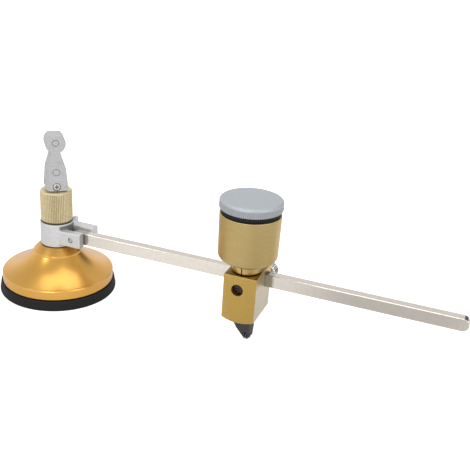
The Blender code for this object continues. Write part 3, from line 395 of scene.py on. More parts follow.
def finish(name, colour, dark, edge, roughness, metallic, grain, bump, axis=None, marks=0.0, groove=0.0,
           coat=0.0):
    """A surface finish. Colour goes to dark with the grain, and to edge on the rounded edges, which stands for
    wear
    and for painted edge light: a painted highlight where edge is lighter, a painted shade where it is darker.

    Roughness is (low, high) over the grain, whose size and bump are in mm. Axis is a point in mm on a turned
    piece's axis, and marks says how strongly the turning marks show. The piece's per-point shade weight holds
    the depth of its teeth and the weight of its painted shade and painted reflections, and a darkened colour,
    a painted shade, covers the colour where that weight reaches the given depth.
    """
    material = bpy.data.materials.new(name)
    material.use_nodes = True
    tree = material.node_tree
    shader = tree.nodes["Principled BSDF"].inputs
    shader["Metallic"].default_value = metallic
    shader["Coat Weight"].default_value = coat
    place = put(tree, "TexCoord", {})["Object"]
    if axis is not None:
        place = put(tree, "Mapping", {"Vector": place, "Location": -Vector(axis) * MM})["Vector"]
    texture = mottled(tree, place, grain)
    if marks:
        rings = put(tree, "Group", {"Vector": place}, node_tree=turning_marks)["Value"]
        texture = mixed(tree, marks, texture, rings)
    painted = mixed(tree, texture, (*colour, 1), (*dark, 1), "RGBA")
    edge_mask = put(tree, "Group", {"Vector": place}, node_tree=edges_worn_and_lit)["Mask"]
    painted = mixed(tree, edge_mask, painted, (*edge, 1), "RGBA")
    if groove:
        depth = put(tree, "Attribute", {}, attribute_name="groove")["Fac"]
        # A darkened copy of the dark colour: painted shade and painted reflection where the weight is full.
        shade_colour = (*(SHADE_SHARE * np.array(dark)), 1)
        painted = mixed(tree, ranged(tree, depth, 0.0, groove), painted, shade_colour, "RGBA")
    tree.links.new(painted, shader["Base Color"])
    tree.links.new(ranged(tree, texture, 0.0, 1.0, *roughness), shader["Roughness"])
    relief = put(tree, "Bump", {"Distance": bump * MM, "Height": texture})["Normal"]
    tree.links.new(relief, shader["Normal"])
    return material


body_of = {node: body for body, members in frame["record"]["behaviour"]["bodies"].items() for node in members}


def fit(piece, node, material):
    """Gives a piece its finish and puts it in the place of a CAD node, on that node's body.

    Its normals are weighed by face area, so that flat faces stay flat beside their rounded edges.
    """
    piece.data.materials.clear()
    piece.data.materials.append(material)
    weighted = piece.modifiers.new("weighted", "WEIGHTED_NORMAL")
    weighted.keep_sharp = True
    weighted.weight = 100
    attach(piece, body_of[node])
    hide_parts(node)
    return piece


rubber_black = finish("rubber_black", (0.012, 0.012, 0.013), (0.02, 0.02, 0.022), (0.03, 0.03, 0.032),
                      roughness=(0.5, 0.66), metallic=0, grain=0.8, bump=0.03)
rubber_black.node_tree.nodes["Principled BSDF"].inputs["Specular IOR Level"].default_value = 0.2
DISC = [(0, 2.4, 0), (12.3, 2.4, 0.2), (12.3, 5.6, 0.3), (32.2, 5.6, 0.6)]
DISC += [(33.0, 1.2, 0.5), (33.0, 0, 0.4), (0, 0, 0)]
fit(turned("rubber_disc", filleted(DISC)), "suction_disc", rubber_black)


# Draw plate: the steel disc under the stem, which lies in the rubber's pocket and pulls it up.
# The return spring above it is hard-drawn wire with closed ends and pushes the rubber flat again.
steel_plain = finish("steel_plain", (0.62, 0.62, 0.64), (0.5, 0.5, 0.52), (0.8, 0.8, 0.8),
                     roughness=(0.24, 0.36), metallic=1, grain=0.5, bump=0.004)
PLATE = [(2.6, 5.0, 0.1), (12.0, 5.0, 0.3), (12.0, 2.7, 0.3), (2.6, 2.7, 0.1)]
plate_disc = turned("draw_plate_disc", filleted(PLATE, True), steps=96, closed=True)
fit(plate_disc, "draw_plate", steel_plain)

SPRING_RADIUS = 7.0
SPRING_WIRE = 0.7
SPRING_TURNS = 5
spring_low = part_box("return_spring")[0].z / MM
spring_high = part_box("return_spring")[1].z / MM
SPRING_EASE = 0.06
ALONG_SPRING = 480
ROUND_WIRE = 14


def coil(name):
    """A helix tube: the angle grows evenly along the wire, and the height more slowly in the end turns."""
    share = np.linspace(0, 1, ALONG_SPRING)
    angle = 2 * np.pi * SPRING_TURNS * share
    eased = share - np.sin(2 * np.pi * share) * SPRING_EASE
    low, high = spring_low + SPRING_WIRE, spring_high - SPRING_WIRE
    out = np.stack([np.cos(angle), np.sin(angle), 0 * angle], 1)
    middle = SPRING_RADIUS * out
    middle[:, 2] = low + (high - low) * eased
    along = np.gradient(middle, axis=0)
    along /= np.linalg.norm(along, axis=1, keepdims=True)
    up = np.cross(along, out)
    turn = np.linspace(0, 2 * np.pi, ROUND_WIRE, endpoint=False)[None, :, None]
    wire = middle[:, None] + SPRING_WIRE * (np.cos(turn) * out[:, None] - np.sin(turn) * up[:, None])
    faces = quads(ALONG_SPRING, ROUND_WIRE).tolist()
    faces.append(list(range(ROUND_WIRE))[::-1])
    faces.append(list(range((ALONG_SPRING - 1) * ROUND_WIRE, ALONG_SPRING * ROUND_WIRE)))
    return shown(name, wire.reshape(-1, 3) * MM, faces)


spring = fit(coil("return_spring_wire"), "return_spring", steel_plain)
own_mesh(spring)


# Base bell: turned aluminium, satin gold, with a rim band, a hollow flare and a chamfered shoulder, which
# carries a brown painted reflection of the yoke. Its top is bored for the spigot, whose flange bears on its
# ceiling from below.
def places_of(piece):
    """The places of all points of a piece, in mm."""
    places = np.empty(len(piece.data.vertices) * 3)
    piece.data.vertices.foreach_get("co", places)
    return places.reshape(-1, 3) / MM


def ramp(values, none, full):
    """Weights that go from 0 at the value none to 1 at the value full."""
    return np.clip((values - none) / (full - none), 0, 1)


def paint_shade(piece, weight):
    """Adds a weight of 0 to 1 per point to the piece's painted shade attribute, where the finish paints shade.
    """
    given = piece.data.attributes.get("groove") or piece.data.attributes.new("groove", "FLOAT", "POINT")
    depth = np.zeros(len(given.data))
    given.data.foreach_get("value", depth)
    given.data.foreach_set("value", (depth + weight).astype(np.float32))


gold_satin = finish("gold_satin", (0.92, 0.49, 0.075), (0.84, 0.43, 0.06), (0.95, 0.64, 0.26),
                    roughness=(0.26, 0.32), metallic=1, grain=0.5, bump=0.002, axis=(0, 0, 0), marks=0.35,
                    groove=1.0, coat=0.7)
satin_shader = gold_satin.node_tree.nodes["Principled BSDF"].inputs
satin_shader["Coat Roughness"].default_value = 0.28
satin_shader["Coat IOR"].default_value = 1.7
BELL_LOW, BELL_FLARE, BELL_CEILING, BELL_SHOULDER, BELL_TOP = 5.9, 11.4, 20.6, 23.0, 27.6
BELL_RADIUS, SHOULDER_RADIUS, BELL_BORE = 31.4, 13.6, 6.3
BELL_WALL = 2.4
SHOULDER_EDGE = 0.8
SAG_RADIUS = 36.0
flare = sagging((BELL_RADIUS - 0.5, BELL_FLARE), (SHOULDER_RADIUS, BELL_SHOULDER), SAG_RADIUS)
hollow_foot = (BELL_RADIUS - BELL_WALL, BELL_FLARE - BELL_WALL)
hollow_head = (SHOULDER_RADIUS - BELL_WALL, BELL_SHOULDER - BELL_WALL - SHOULDER_EDGE)
BELL = [(BELL_BORE, BELL_TOP, 0.2), (9.8, BELL_TOP, 0.4)]
BELL += [(SHOULDER_RADIUS, BELL_SHOULDER + SHOULDER_EDGE, 0.5)] + flare[:0:-1]
BELL += [(BELL_RADIUS - 0.3, BELL_FLARE, 0.25), (BELL_RADIUS, BELL_FLARE - 0.5, 0.3)]
BELL += [(BELL_RADIUS, BELL_LOW, 0.5), (BELL_RADIUS - BELL_WALL, BELL_LOW, 0.2)]
BELL += sagging(hollow_foot, hollow_head, SAG_RADIUS)
BELL += [(SHOULDER_RADIUS - BELL_WALL, BELL_CEILING, 0.4), (BELL_BORE, BELL_CEILING, 0.2)]
bell = turned("gold_bell", filleted(BELL, True), steps=256, closed=True)
# The shoulder is browned towards its top: a painted reflection of the yoke above it.
SHOULDER_REFLECTION = 0.3
REFLECTION_LOW, REFLECTION_FULL = BELL_SHOULDER + SHOULDER_EDGE, BELL_SHOULDER + SHOULDER_EDGE + 2.5
paint_shade(bell, SHOULDER_REFLECTION * ramp(places_of(bell)[:, 2], REFLECTION_LOW, REFLECTION_FULL))
fit(bell, "base_bell", gold_satin)


# Spigot: a turned tube with a flange at its foot, put up through the bell from below. It carries washer,
# yoke and nut outside the bell, and guides the stem in its bore.
SPIGOT_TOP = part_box("spigot")[1].z / MM
FLANGE_TOP = BELL_CEILING - 0.3
FLANGE_LOW = FLANGE_TOP - 1.2
SPIGOT = [(3.5, SPIGOT_TOP, 0.2), (6.0, SPIGOT_TOP, 0.5), (6.0, FLANGE_TOP, 0.1), (8.4, FLANGE_TOP, 0.2)]
SPIGOT += [(8.4, FLANGE_LOW, 0.2), (3.5, FLANGE_LOW, 0.2)]
spigot_tube = turned("spigot_tube", filleted(SPIGOT, True), steps=128, closed=True)
fit(spigot_tube, "spigot", gold_satin)


# Stem: a steel bar from the draw plate up through the bell, milled to a flat tongue at its top.
# The tongue's eye takes the lever's screw. A nylon washer under the yoke lets it swivel on the bell.
YAW = math.radians(38.5)
turn_of_lever = np.array(((math.cos(YAW), -math.sin(YAW), 0), (math.sin(YAW), math.cos(YAW), 0), (0, 0, 1)))
TO_LEVER_FRONT = turn_of_lever @ TO_FRONT
PIVOT = (0, 0, (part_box("lever_screw")[0].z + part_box("lever_screw")[1].z) / 2 / MM)


def plate(name, outline, low, high, edge, centre=(0, 0, 0), facing=UPRIGHT, steps=4):
    """A closed outline carried along its own axis from low to high (mm), with both rims rounded.

    On a rim's arc at angle a the outline is drawn in by edge times 1 - sin a along its own normals, and lies
    edge times 1 - cos a inside the flat end. The outline's own rounds are wider than edge.
    """
    loop, wear = outline
    across = np.roll(loop, -1, 0) - np.roll(loop, 1, 0)
    inward = np.stack([-across[:, 1], across[:, 0]], 1) / np.linalg.norm(across, axis=1, keepdims=True)
    bend = np.linspace(0, np.pi / 2, steps + 1) if edge else np.array([np.pi / 2])
    drawn_in = np.concatenate([1 - np.sin(bend), (1 - np.sin(bend))[::-1]]) * edge * MM
    inside = (1 - np.cos(bend)) * edge
    level = np.concatenate([low + inside, high - inside[::-1]]) * MM
    flat = loop[None] + inward[None] * drawn_in[:, None, None]
    rise = np.broadcast_to(level[:, None, None], (*flat.shape[:2], 1))
    grid = np.concatenate([flat, rise], 2).reshape(-1, 3)
    count = len(loop)
    faces = quads(len(level), count)[:, ::-1].tolist()
    faces.append(list(range(count))[::-1])
    faces.append(list(range((len(level) - 1) * count, len(level) * count)))
    rim = np.concatenate([np.sin(2 * bend), np.sin(2 * bend)[::-1]])
    edge_weight = np.maximum(rim[:, None], wear[None]).ravel()
    return shown(name, grid @ np.array(facing).T + np.array(centre) * MM, faces, edge=edge_weight)


def worked(piece, operation, *tools):
    """Cuts the piece with each tool, or unites them, and takes the tools away."""
    for tool in tools:
        step = piece.modifiers.new(tool.name, "BOOLEAN")
        step.operation = operation
        step.solver = "EXACT"
        step.object = tool
    return set_solid(piece, *tools)


def set_solid(piece, *tools):
    """Makes what the modifiers give the piece's own mesh, with creases where faces meet at an angle."""
    bpy.context.view_layer.update()
    solid = bpy.data.meshes.new_from_object(piece.evaluated_get(bpy.context.evaluated_depsgraph_get()))
    piece.modifiers.clear()
    piece.data = solid
    solid.shade_smooth()
    solid.set_sharp_from_angle(angle=CREASE)
    for tool in tools:
        bpy.data.objects.remove(tool, do_unlink=True)
    return piece


def bar(name, radius, low, high, centre=(0, 0, 0), facing=UPRIGHT, edge=0.0, steps=64):
    """A plain round bar between two heights in mm."""
    corners = [(0, high, 0), (radius, high, edge), (radius, low, edge), (0, low, 0)]
    return turned(name, filleted(corners), centre, facing, steps)


def block(name, low, high, centre=(0, 0, 0), facing=UPRIGHT, edge=0.0):
    """A rectangular block between two corners in mm."""
    (left, front), (right, back) = low[:2], high[:2]
    corners = [(left, front, edge), (right, front, edge), (right, back, edge), (left, back, edge)]
    return plate(name, filleted(corners, True), low[2], high[2], edge, centre, facing)


TONGUE_FOOT = PIVOT[2] - 6.8
STEM = [(0, TONGUE_FOOT, 0), (3.2, TONGUE_FOOT, 0.3), (3.2, 5.3, 0.2)]
STEM += [(2.3, 5.3, 0.1), (2.3, 3.0, 0.2), (0, 3.0, 0)]
stem = turned("stem_bar", filleted(STEM), steps=96)
eye = arc_of((0, 0), 2.8, 0, 180) + [(-2.8, -7.8, 0), (2.8, -7.8, 0)]
tongue = plate("tongue", filleted(eye, True), -1.7, 1.7, 0.2, PIVOT, TO_LEVER_FRONT)
stem = worked(stem, "UNION", tongue)
stem = worked(stem, "DIFFERENCE", bar("eye_hole", 1.8, -3, 3, PIVOT, TO_LEVER_FRONT))
fit(stem, "stem", steel_plain)

nylon_white = finish("nylon_white", (0.8, 0.79, 0.75), (0.72, 0.71, 0.67), (0.85, 0.85, 0.82),
                     roughness=(0.45, 0.55), metallic=0, grain=0.8, bump=0.005)
WASHER = [(6.3, 28.7, 0.1), (8.0, 28.7, 0.15), (8.0, 27.9, 0.15), (6.3, 27.9, 0.1)]
washer = turned("nylon_washer", filleted(WASHER, True), steps=96, closed=True)
fit(washer, "swivel_washer", nylon_white)


# Yoke: a zinc casting whose ring turns on the bell's spigot and whose two arms hold the rod's end.
# Ring, arms and nub run into each other with the soft fillets of a casting; the bores are drilled.
cast_silver = finish("cast_silver", (0.82, 0.83, 0.84), (0.7, 0.71, 0.72), (0.88, 0.89, 0.9),
                     roughness=(0.3, 0.5), metallic=0.6, grain=0.9, bump=0.06, groove=1.0)
YOKE_LOW, YOKE_TOP = 27.9, 41.6
YOKE_RADIUS = 9.3
ROD_AXIS = 33.9
ARM_LOW, ARM_TOP = ROD_AXIS - 4.3, ROD_AXIS + 4.3
NEAR_ARM_END, NEAR_ARM_FRONT = 19.2, -7.4
PIN = (13.1, 0, ROD_AXIS)
CAST_STEP = 0.24
yoke = bar("cast_yoke", YOKE_RADIUS, YOKE_LOW, YOKE_TOP, edge=0.3, steps=160)
near_arm = block("near_arm", (2.5, NEAR_ARM_FRONT, ARM_LOW), (NEAR_ARM_END, -3.0, ARM_TOP), edge=0.4)
far_arm = block("far_arm", (0, 3.0, ARM_LOW), (21.4, 9.0, ARM_TOP + 0.8), edge=0.4)
nub = bar("nub", 1.5, ARM_TOP - 1, ARM_TOP + 4.3, (7.76, 7.37, 0), edge=0.5)
yoke = worked(yoke, "UNION", near_arm, far_arm, nub)
skin = yoke.modifiers.new("skin", "REMESH")
skin.mode = "VOXEL"
skin.voxel_size = CAST_STEP * MM
soft = yoke.modifiers.new("soft", "SMOOTH")
soft.factor = 0.5
soft.iterations = 14
set_solid(yoke)
pin_hole = bar("pin_hole", 1.5, -11, 9, PIN, TO_FRONT)
dimple = bar("dimple", 0.42, 7.1, 9, (16.5, 0, ROD_AXIS - 0.2), TO_FRONT)
spigot_bore = bar("spigot_bore", 6.3, YOKE_LOW - 1, YOKE_TOP + 1, steps=128)
washer_seat = bar("washer_seat", 8.3, YOKE_LOW - 1, YOKE_LOW + 1.1, steps=128)
yoke = worked(yoke, "DIFFERENCE", spigot_bore, washer_seat, pin_hole, dimple)

# Painted shade lies on the ring's wall between the arms, full from 1.4 mm under its top, on the ring's top
# close under the nut, and more thinly on the near arm's end.
ARM_END_SHADE = 0.55
x, y, z = places_of(yoke).T
radius = np.hypot(x, y)
on_wall = ramp(radius, YOKE_RADIUS + 0.7, YOKE_RADIUS)
under_rim = ramp(z, YOKE_TOP - 0.5, YOKE_TOP - 1.4) * (z > ARM_TOP - 5)
between = (x > 1.5) * ramp(y, NEAR_ARM_FRONT, NEAR_ARM_FRONT + 0.8) * (y < 3.6)
under_nut = ramp(z, YOKE_TOP - 0.25, YOKE_TOP - 0.15) * ramp(radius, YOKE_RADIUS - 0.1, YOKE_RADIUS - 0.3)
at_end = ARM_END_SHADE * ramp(x, NEAR_ARM_END - 0.3, NEAR_ARM_END - 0.1) * (y < 0)
paint_shade(yoke, np.clip(on_wall * under_rim * between + under_nut + at_end, 0, 1))
fit(yoke, "yoke", cast_silver)

fit(bar("pivot_pin", 1.2, -8.8, 7.2, PIN, TO_FRONT, edge=0.2), "rod_pin", steel_plain)


# Rod: cold-drawn flat bar with half-round ends, nickel plated and polished, drilled for the yoke's pin.
# It carries painted shade at its end between the yoke's arms, and a painted reflection of the block beside the
# turret.
nickel_bright = finish("nickel_bright", (0.93, 0.865, 0.78), (0.86, 0.79, 0.71), (0.98, 0.95, 0.9),
                       roughness=(0.06, 0.14), metallic=1, grain=2.5, bump=0.004, groove=1.0)
ROD_HALF = 3.45
ROD_TIP = 231.0
ROD_END = ROD_TIP - PIN[0] - ROD_HALF
ROD = arc_of((ROD_END, 0), ROD_HALF, -90, 90, 32) + arc_of((0, 0), ROD_HALF, 90, 270, 32)
rod = plate("flat_rod", filleted(ROD, True), -2.5, 2.5, 0.35, PIN, TO_FRONT)
rod = worked(rod, "DIFFERENCE", bar("rod_hole", 1.5, -4, 4, PIN, TO_FRONT))


def cut_across(piece, places):
    """Adds a loop of edges to the piece at each place along X in mm, so that a weight can change there."""
    shape = bmesh.new()
    shape.from_mesh(piece.data)
    for along in places:
        whole = list(shape.verts) + list(shape.edges) + list(shape.faces)
        bmesh.ops.bisect_plane(shape, geom=whole, plane_co=(along * MM, 0, 0), plane_no=(1, 0, 0))
    shape.to_mesh(piece.data)
    shape.free()
    piece.data.set_sharp_from_angle(angle=CREASE)


# Painted shade on the rod between the yoke's arms, and a painted reflection of the block's side beside the
# turret.
SHADE_BETWEEN_ARMS = ((20.0, 0.55), (21.5, 0.0))
BLOCK_REFLECTION = ((119.0, 0.0), (126.5, 0.6), (130.4, 0.6), (132.2, 0.0))
shade_places, shade_weights = zip(*SHADE_BETWEEN_ARMS, *BLOCK_REFLECTION)
cut_across(rod, shade_places)
paint_shade(rod, np.interp(places_of(rod)[:, 0], shade_places, shade_weights))
fit(rod, "rod", nickel_bright)


# Knurled nut: pale brass with straight rolled knurling, screwed on the spigot over the yoke.
# The rolled teeth have painted shade at their roots and end in the turned chamfers. Painted shade lies round
# its foot, where it sits on the yoke.
brass_pale = finish("brass_pale", (1.0, 0.9, 0.62), (0.76, 0.61, 0.33), (1.0, 0.95, 0.8),
                    roughness=(0.24, 0.44), metallic=0.85, grain=1.2, bump=0.03, axis=(0, 0, 0), groove=0.8)
NUT_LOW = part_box("knurled_nut")[0].z / MM
NUT_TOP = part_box("knurled_nut")[1].z / MM
NUT_RADIUS, NUT_BORE = 8.9, 3.8
NUT_TEETH, NUT_TOOTH = 54, 0.38


def straight_teeth(outer, depth, count):
    """A knurl: the radius is cut to the outer one less depth times a rounded triangle wave of the angle."""

    def teeth(radius, height, angle):
        wave = np.abs(np.mod(angle * count / (2 * np.pi), 1) * 2 - 1)
        cut = (outer - depth * np.clip(1.25 * (1 - wave) - 0.1, 0, 1)) * MM
        return np.minimum(radius, cut)

    return teeth


def close_rows(low, high, radius, spacing=0.6):
    """Extra points down a straight side, so that a knurl has rows to follow."""
    count = max(2, int(abs(high - low) / spacing))
    return [(radius, height, 0) for height in np.linspace(high, low, count + 1)]


CHAMFER_ROWS = (0, 0.2, 0.4, 0.6)
NUT = [(NUT_BORE, NUT_TOP, 0.2)] + [(NUT_RADIUS - 0.8 + down, NUT_TOP - down, 0) for down in CHAMFER_ROWS]
NUT += close_rows(NUT_LOW + 0.3, NUT_TOP - 0.8, NUT_RADIUS) + [(8.75, NUT_LOW + 0.15, 0), (8.6, NUT_LOW, 0)]
NUT += [(6.3, NUT_LOW, 0.2), (6.3, NUT_TOP - 2.6, 0.2), (NUT_BORE, NUT_TOP - 2.6, 0.1)]
nut_teeth = straight_teeth(NUT_RADIUS, NUT_TOOTH, NUT_TEETH)
nut = turned("brass_nut", filleted(NUT, True), steps=NUT_TEETH * 10, closed=True, teeth=nut_teeth)
# Darker towards its foot, where it sits on the yoke: painted shade.
paint_shade(nut, ramp(places_of(nut)[:, 2], NUT_LOW + 0.5, NUT_LOW + 0.3))
fit(nut, "knurled_nut", brass_pale)


# Lever: a zinc casting, slotted at its foot to straddle the stem's tongue. Its foot is a cam that lifts
# the stem off the nut as it is thrown. Two shallow round marks are left by the mould's ejector pins.
FOOT_DROP = PIVOT[2] - NUT_TOP - 0.3
CAM_RISE = 2.865
LEVER_FOOT = 6.2
LEVER_SIDES = [(3.8, 15.0, 2.0), (5.3, 10.5, 2.0), (5.7, 6.0, 2.0), (LEVER_FOOT, 0, 2.0)]
HEAD_CENTRE, HEAD_RADIUS, HEAD_FLAT, NECK_DROP = 24.7, 5.5, 4.5, 4.9
LEVER_HALF = 5.5
top_angle = math.degrees(math.asin(HEAD_FLAT / HEAD_RADIUS))
neck_angle = math.degrees(math.asin(NECK_DROP / HEAD_RADIUS))
sweep = np.linspace(0, math.pi / 2, 41)
sine, cosine = np.sin(sweep), np.cos(sweep)
lift = FOOT_DROP + CAM_RISE * sweep
cam = np.stack([-lift * sine - CAM_RISE * cosine, CAM_RISE * sine - lift * cosine], 1)
cam = cam[cam[:, 0] > -LEVER_FOOT]
LEVER = [(x, z, 0) for x, z in cam[::-1]] + [(LEVER_FOOT, -FOOT_DROP, 0.6)] + LEVER_SIDES[::-1]
LEVER += arc_of((0, HEAD_CENTRE), HEAD_RADIUS, -neck_angle, top_angle, 36)
LEVER += arc_of((0, HEAD_CENTRE), HEAD_RADIUS, 180 - top_angle, 180 + neck_angle, 36)
LEVER += [(-x, z, r) for x, z, r in LEVER_SIDES] + [(-LEVER_FOOT, cam[-1, 1] + 0.3, 0.4)]
lever = plate("cast_lever", filleted(LEVER, True), -LEVER_HALF, LEVER_HALF, 0.45, PIVOT, TO_LEVER_FRONT, 5)


def pin_mark(name, rise, radius, depth):
    """A ring that leaves a shallow round groove on the lever's front face."""
    front = LEVER_HALF
    ring = [(radius + 0.15, front - depth, 0), (radius - 0.15, front - depth, 0)]
    ring += [(radius - 0.3, front + 0.5, 0), (radius + 0.3, front + 0.5, 0)]
    centre = (PIVOT[0], PIVOT[1], PIVOT[2] + rise)
    return turned(name, filleted(ring, True), centre, TO_LEVER_FRONT, 64, closed=True)


tongue_slot = block("tongue_slot", (-8, -2.0, -8), (8, 2.0, 3.4), PIVOT, turn_of_lever)
screw_hole = bar("screw_hole", 1.8, -7, 7, PIVOT, TO_LEVER_FRONT)
screw_seat = bar("screw_seat", 2.25, LEVER_HALF - 1.5, 7, PIVOT, TO_LEVER_FRONT)
LOW_MARK, HIGH_MARK = (8.6, 1.9), (25.2, 1.7)
marks = [pin_mark("low_mark", *LOW_MARK, 0.22), pin_mark("high_mark", *HIGH_MARK, 0.3)]
lever = worked(lever, "DIFFERENCE", *marks, tongue_slot, screw_hole, screw_seat)
# The sunk faces of the ejector marks are darkened: painted shade in their grooves.
MARK_SHADE = 0.6
across, rise, out = ((places_of(lever) - np.array(PIVOT)) @ TO_LEVER_FRONT).T
sunk = (out < LEVER_HALF - 0.1) * (out > LEVER_HALF - 0.4)
for mark_rise, mark_radius in (LOW_MARK, HIGH_MARK):
    paint_shade(lever, MARK_SHADE * sunk * (np.hypot(across, rise - mark_rise) < mark_radius + 0.5))
# Its edge colour is darker than its face: painted shade along the rounded rims.
lever_grey = finish("lever_grey", (0.66, 0.66, 0.67), (0.55, 0.55, 0.56), (0.33, 0.33, 0.35),
                    roughness=(0.4, 0.58), metallic=0.5, grain=0.9, bump=0.05, groove=1.0)
fit(lever, "lever", lever_grey)


# Lever screw: a cross-recess steel screw through the lever's cheeks and the tongue, below the lever's face.
SCREW_UNDER = LEVER_HALF - 1.2
SCREW_TOP, SCREW_TIP = SCREW_UNDER + 1.1, 0.3 - LEVER_HALF
SCREW = [(0, SCREW_TOP, 0), (1.95, SCREW_TOP, 0.35), (1.95, SCREW_UNDER, 0.1), (1.5, SCREW_UNDER, 0)]
SCREW += [(1.5, SCREW_TIP, 0.2), (0, SCREW_TIP, 0)]
lever_screw = turned("cross_screw", filleted(SCREW), PIVOT, TO_LEVER_FRONT, 96)
recess_low = SCREW_UNDER + 0.1
crosses = [block(name, (-x, -y, recess_low), (x, y, recess_low + 2), PIVOT, TO_LEVER_FRONT)
           for name, x, y in (("cross_wide", 1.2, 0.32), ("cross_tall", 0.32, 1.2))]
lever_screw = worked(lever_screw, "DIFFERENCE", *crosses)
steel_screw = finish("steel_screw", (0.9, 0.89, 0.85), (0.6, 0.58, 0.54), (0.98, 0.98, 0.95),
                     roughness=(0.16, 0.3), metallic=1, grain=0.6, bump=0.01, groove=1.0)
# The head is darkened from just above the bottom of its cross recess downwards: painted shade in the recess and
# round its foot.
along_axis = (places_of(lever_screw) - np.array(PIVOT)) @ TO_LEVER_FRONT[:, 2]
paint_shade(lever_screw, ramp(along_axis, SCREW_UNDER + 0.6, SCREW_UNDER + 0.3))
fit(lever_screw, "lever_screw", steel_screw)


# Slider block: sawn from gold anodised bar, so its two sawn sides are bare metal. It is slotted for the rod,
# bored for the spindle, set screw and clamp screw, and its underside is bowed.
TURRET_X = 118.0
SPINDLE_Y = -7.4
TURRET = (TURRET_X, SPINDLE_Y, 0)
BLOCK_TOP = 40.4
gold_block = finish("gold_block", (0.66, 0.44, 0.125), (0.54, 0.35, 0.09), (0.85, 0.66, 0.34),
                    roughness=(0.3, 0.42), metallic=1, grain=0.5, bump=0.01, groove=1.0)
BLOCK_LOW, BLOCK_HALF, BOW_RISE = 13.4, 8.95, 2.0
BLOCK_FRONT, BLOCK_BACK = -16.9, 7.3
bow_radius = (BLOCK_HALF**2 + BOW_RISE**2) / (2 * BOW_RISE)
bow_angle = math.degrees(math.asin(BLOCK_HALF / bow_radius))
underside = arc_of((0, BLOCK_LOW + bow_radius), bow_radius, -90 - bow_angle, -90 + bow_angle, 40)
BLOCK = [(BLOCK_HALF, BLOCK_TOP, 0.5), (-BLOCK_HALF, BLOCK_TOP, 0.5)]
BLOCK += [(*underside[0][:2], 0.5)] + underside[1:-1] + [(*underside[-1][:2], 0.5)]
block_outline = filleted(BLOCK, True)
slider = plate("gold_slider", block_outline, -BLOCK_BACK, -BLOCK_FRONT, 0.45, (TURRET_X, 0, 0), TO_FRONT)
rod_slot = block("rod_way", (-10, -2.8, ROD_AXIS - 3.75), (10, 2.8, ROD_AXIS + 3.75), (TURRET_X, 0, 0))
spindle_bore = bar("spindle_bore", 3.5, 12, BLOCK_TOP + 1, TURRET)
SCREW_LEVEL = 32.4
SET_SCREW, CLAMP = (TURRET_X - 1.2, 0, SCREW_LEVEL), (TURRET_X + 5.6, 0, SCREW_LEVEL)
front_hole = bar("front_hole", 3.2, 7.4, 18, SET_SCREW, TO_FRONT)
clamp_bore = bar("clamp_bore", 2.3, 0, 9, CLAMP, TO_BACK)
slider = worked(slider, "DIFFERENCE", rod_slot, spindle_bore, front_hole, clamp_bore)
# Painted shade on the block's top under the ring and barrel, and inside its front hole.
TOP_SHADE, HOLE_SHADE = 0.55, 0.8
x, y, z = places_of(slider).T
on_top = z > BLOCK_TOP - 0.03
on_hole_wall = (np.hypot(x - SET_SCREW[0], z - SET_SCREW[2]) < 3.3) * (y < -7)
paint_shade(slider, TOP_SHADE * on_top + HOLE_SHADE * on_hole_wall * ramp(y, BLOCK_FRONT + 0.1, BLOCK_FRONT + 0.5))
# Depth under the block's top where the sawn sides keep the gold colour: a painted shadow of the barrel.
BARREL_SHADOW_DEPTH = 7


def sawn_ends(material):
    """Bare metal with faint saw marks wherever a point lies on one of the block's two sawn sides.

    The mask is the distance from the block's middle plane, stepped up within 0.1 mm of those sides. It fades
    back to the gold over the uppermost few mm: a painted shadow of the barrel above.
    """
    tree = material.node_tree
    base = tree.nodes["Principled BSDF"].inputs["Base Color"]
    gold = base.links[0].from_socket
    place = put(tree, "TexCoord", {})["Object"]
    parts = put(tree, "SeparateXYZ", {"Vector": place})
    distance = maths(tree, "ABSOLUTE", maths(tree, "SUBTRACT", parts["X"], TURRET_X * MM))
    mask = ranged(tree, distance, (BLOCK_HALF - 0.15) * MM, (BLOCK_HALF - 0.05) * MM)
    out_of_shadow = ranged(tree, parts["Z"], BLOCK_TOP * MM, (BLOCK_TOP - BARREL_SHADOW_DEPTH) * MM)
    stretched = put(tree, "Mapping", {"Vector": place, "Scale": (1, 0.05, 1)})["Vector"]
    metal = mixed(tree, mottled(tree, stretched, 0.35), (0.8, 0.73, 0.56, 1), (0.68, 0.6, 0.44, 1), "RGBA")
    bare = maths(tree, "MULTIPLY", mask, out_of_shadow)
    tree.links.new(mixed(tree, bare, gold, metal, "RGBA"), base)


sawn_ends(gold_block)
fit(slider, "slider_block", gold_block)


# Set screw: a slotted grub screw of blackened steel, sunk in the block's front hole, which holds the spindle.
GRUB = [(0, 14.3, 0), (2.9, 14.3, 0.4), (2.9, 10.9, 0.3), (0, 10.9, 0)]
grub = turned("grub_screw", filleted(GRUB), SET_SCREW, TO_FRONT, 96)
slant = math.radians(30)
tilt = np.array(((math.cos(slant), 0, math.sin(slant)), (0, 1, 0), (-math.sin(slant), 0, math.cos(slant))))
grub_slot = block("grub_slot", (-0.4, -4, 13.4), (0.4, 4, 16), SET_SCREW, tilt @ TO_FRONT)
# Its edge colour is near white on the black: a painted glint on the screw's rims.
blackened = finish("blackened_steel", (0.03, 0.025, 0.028), (0.1, 0.09, 0.09), (0.95, 0.94, 0.9),
                   roughness=(0.16, 0.3), metallic=1, grain=0.7, bump=0.05)
fit(worked(grub, "DIFFERENCE", grub_slot), "set_screw", blackened)


# Spindle: a steel bar through the block. Its lower socket holds the cutter head, its upper end the handle.
SPINDLE = [(0, 44.2, 0), (1.8, 44.2, 0), (1.8, 50.4, 0.1), (3.2, 50.4, 0.2)]
SPINDLE += [(3.2, 16.5, 0.2), (2.3, 16.5, 0.1), (2.3, 27.0, 0), (0, 27.0, 0)]
fit(turned("spindle_bar", filleted(SPINDLE), TURRET, steps=96), "spindle", steel_plain)


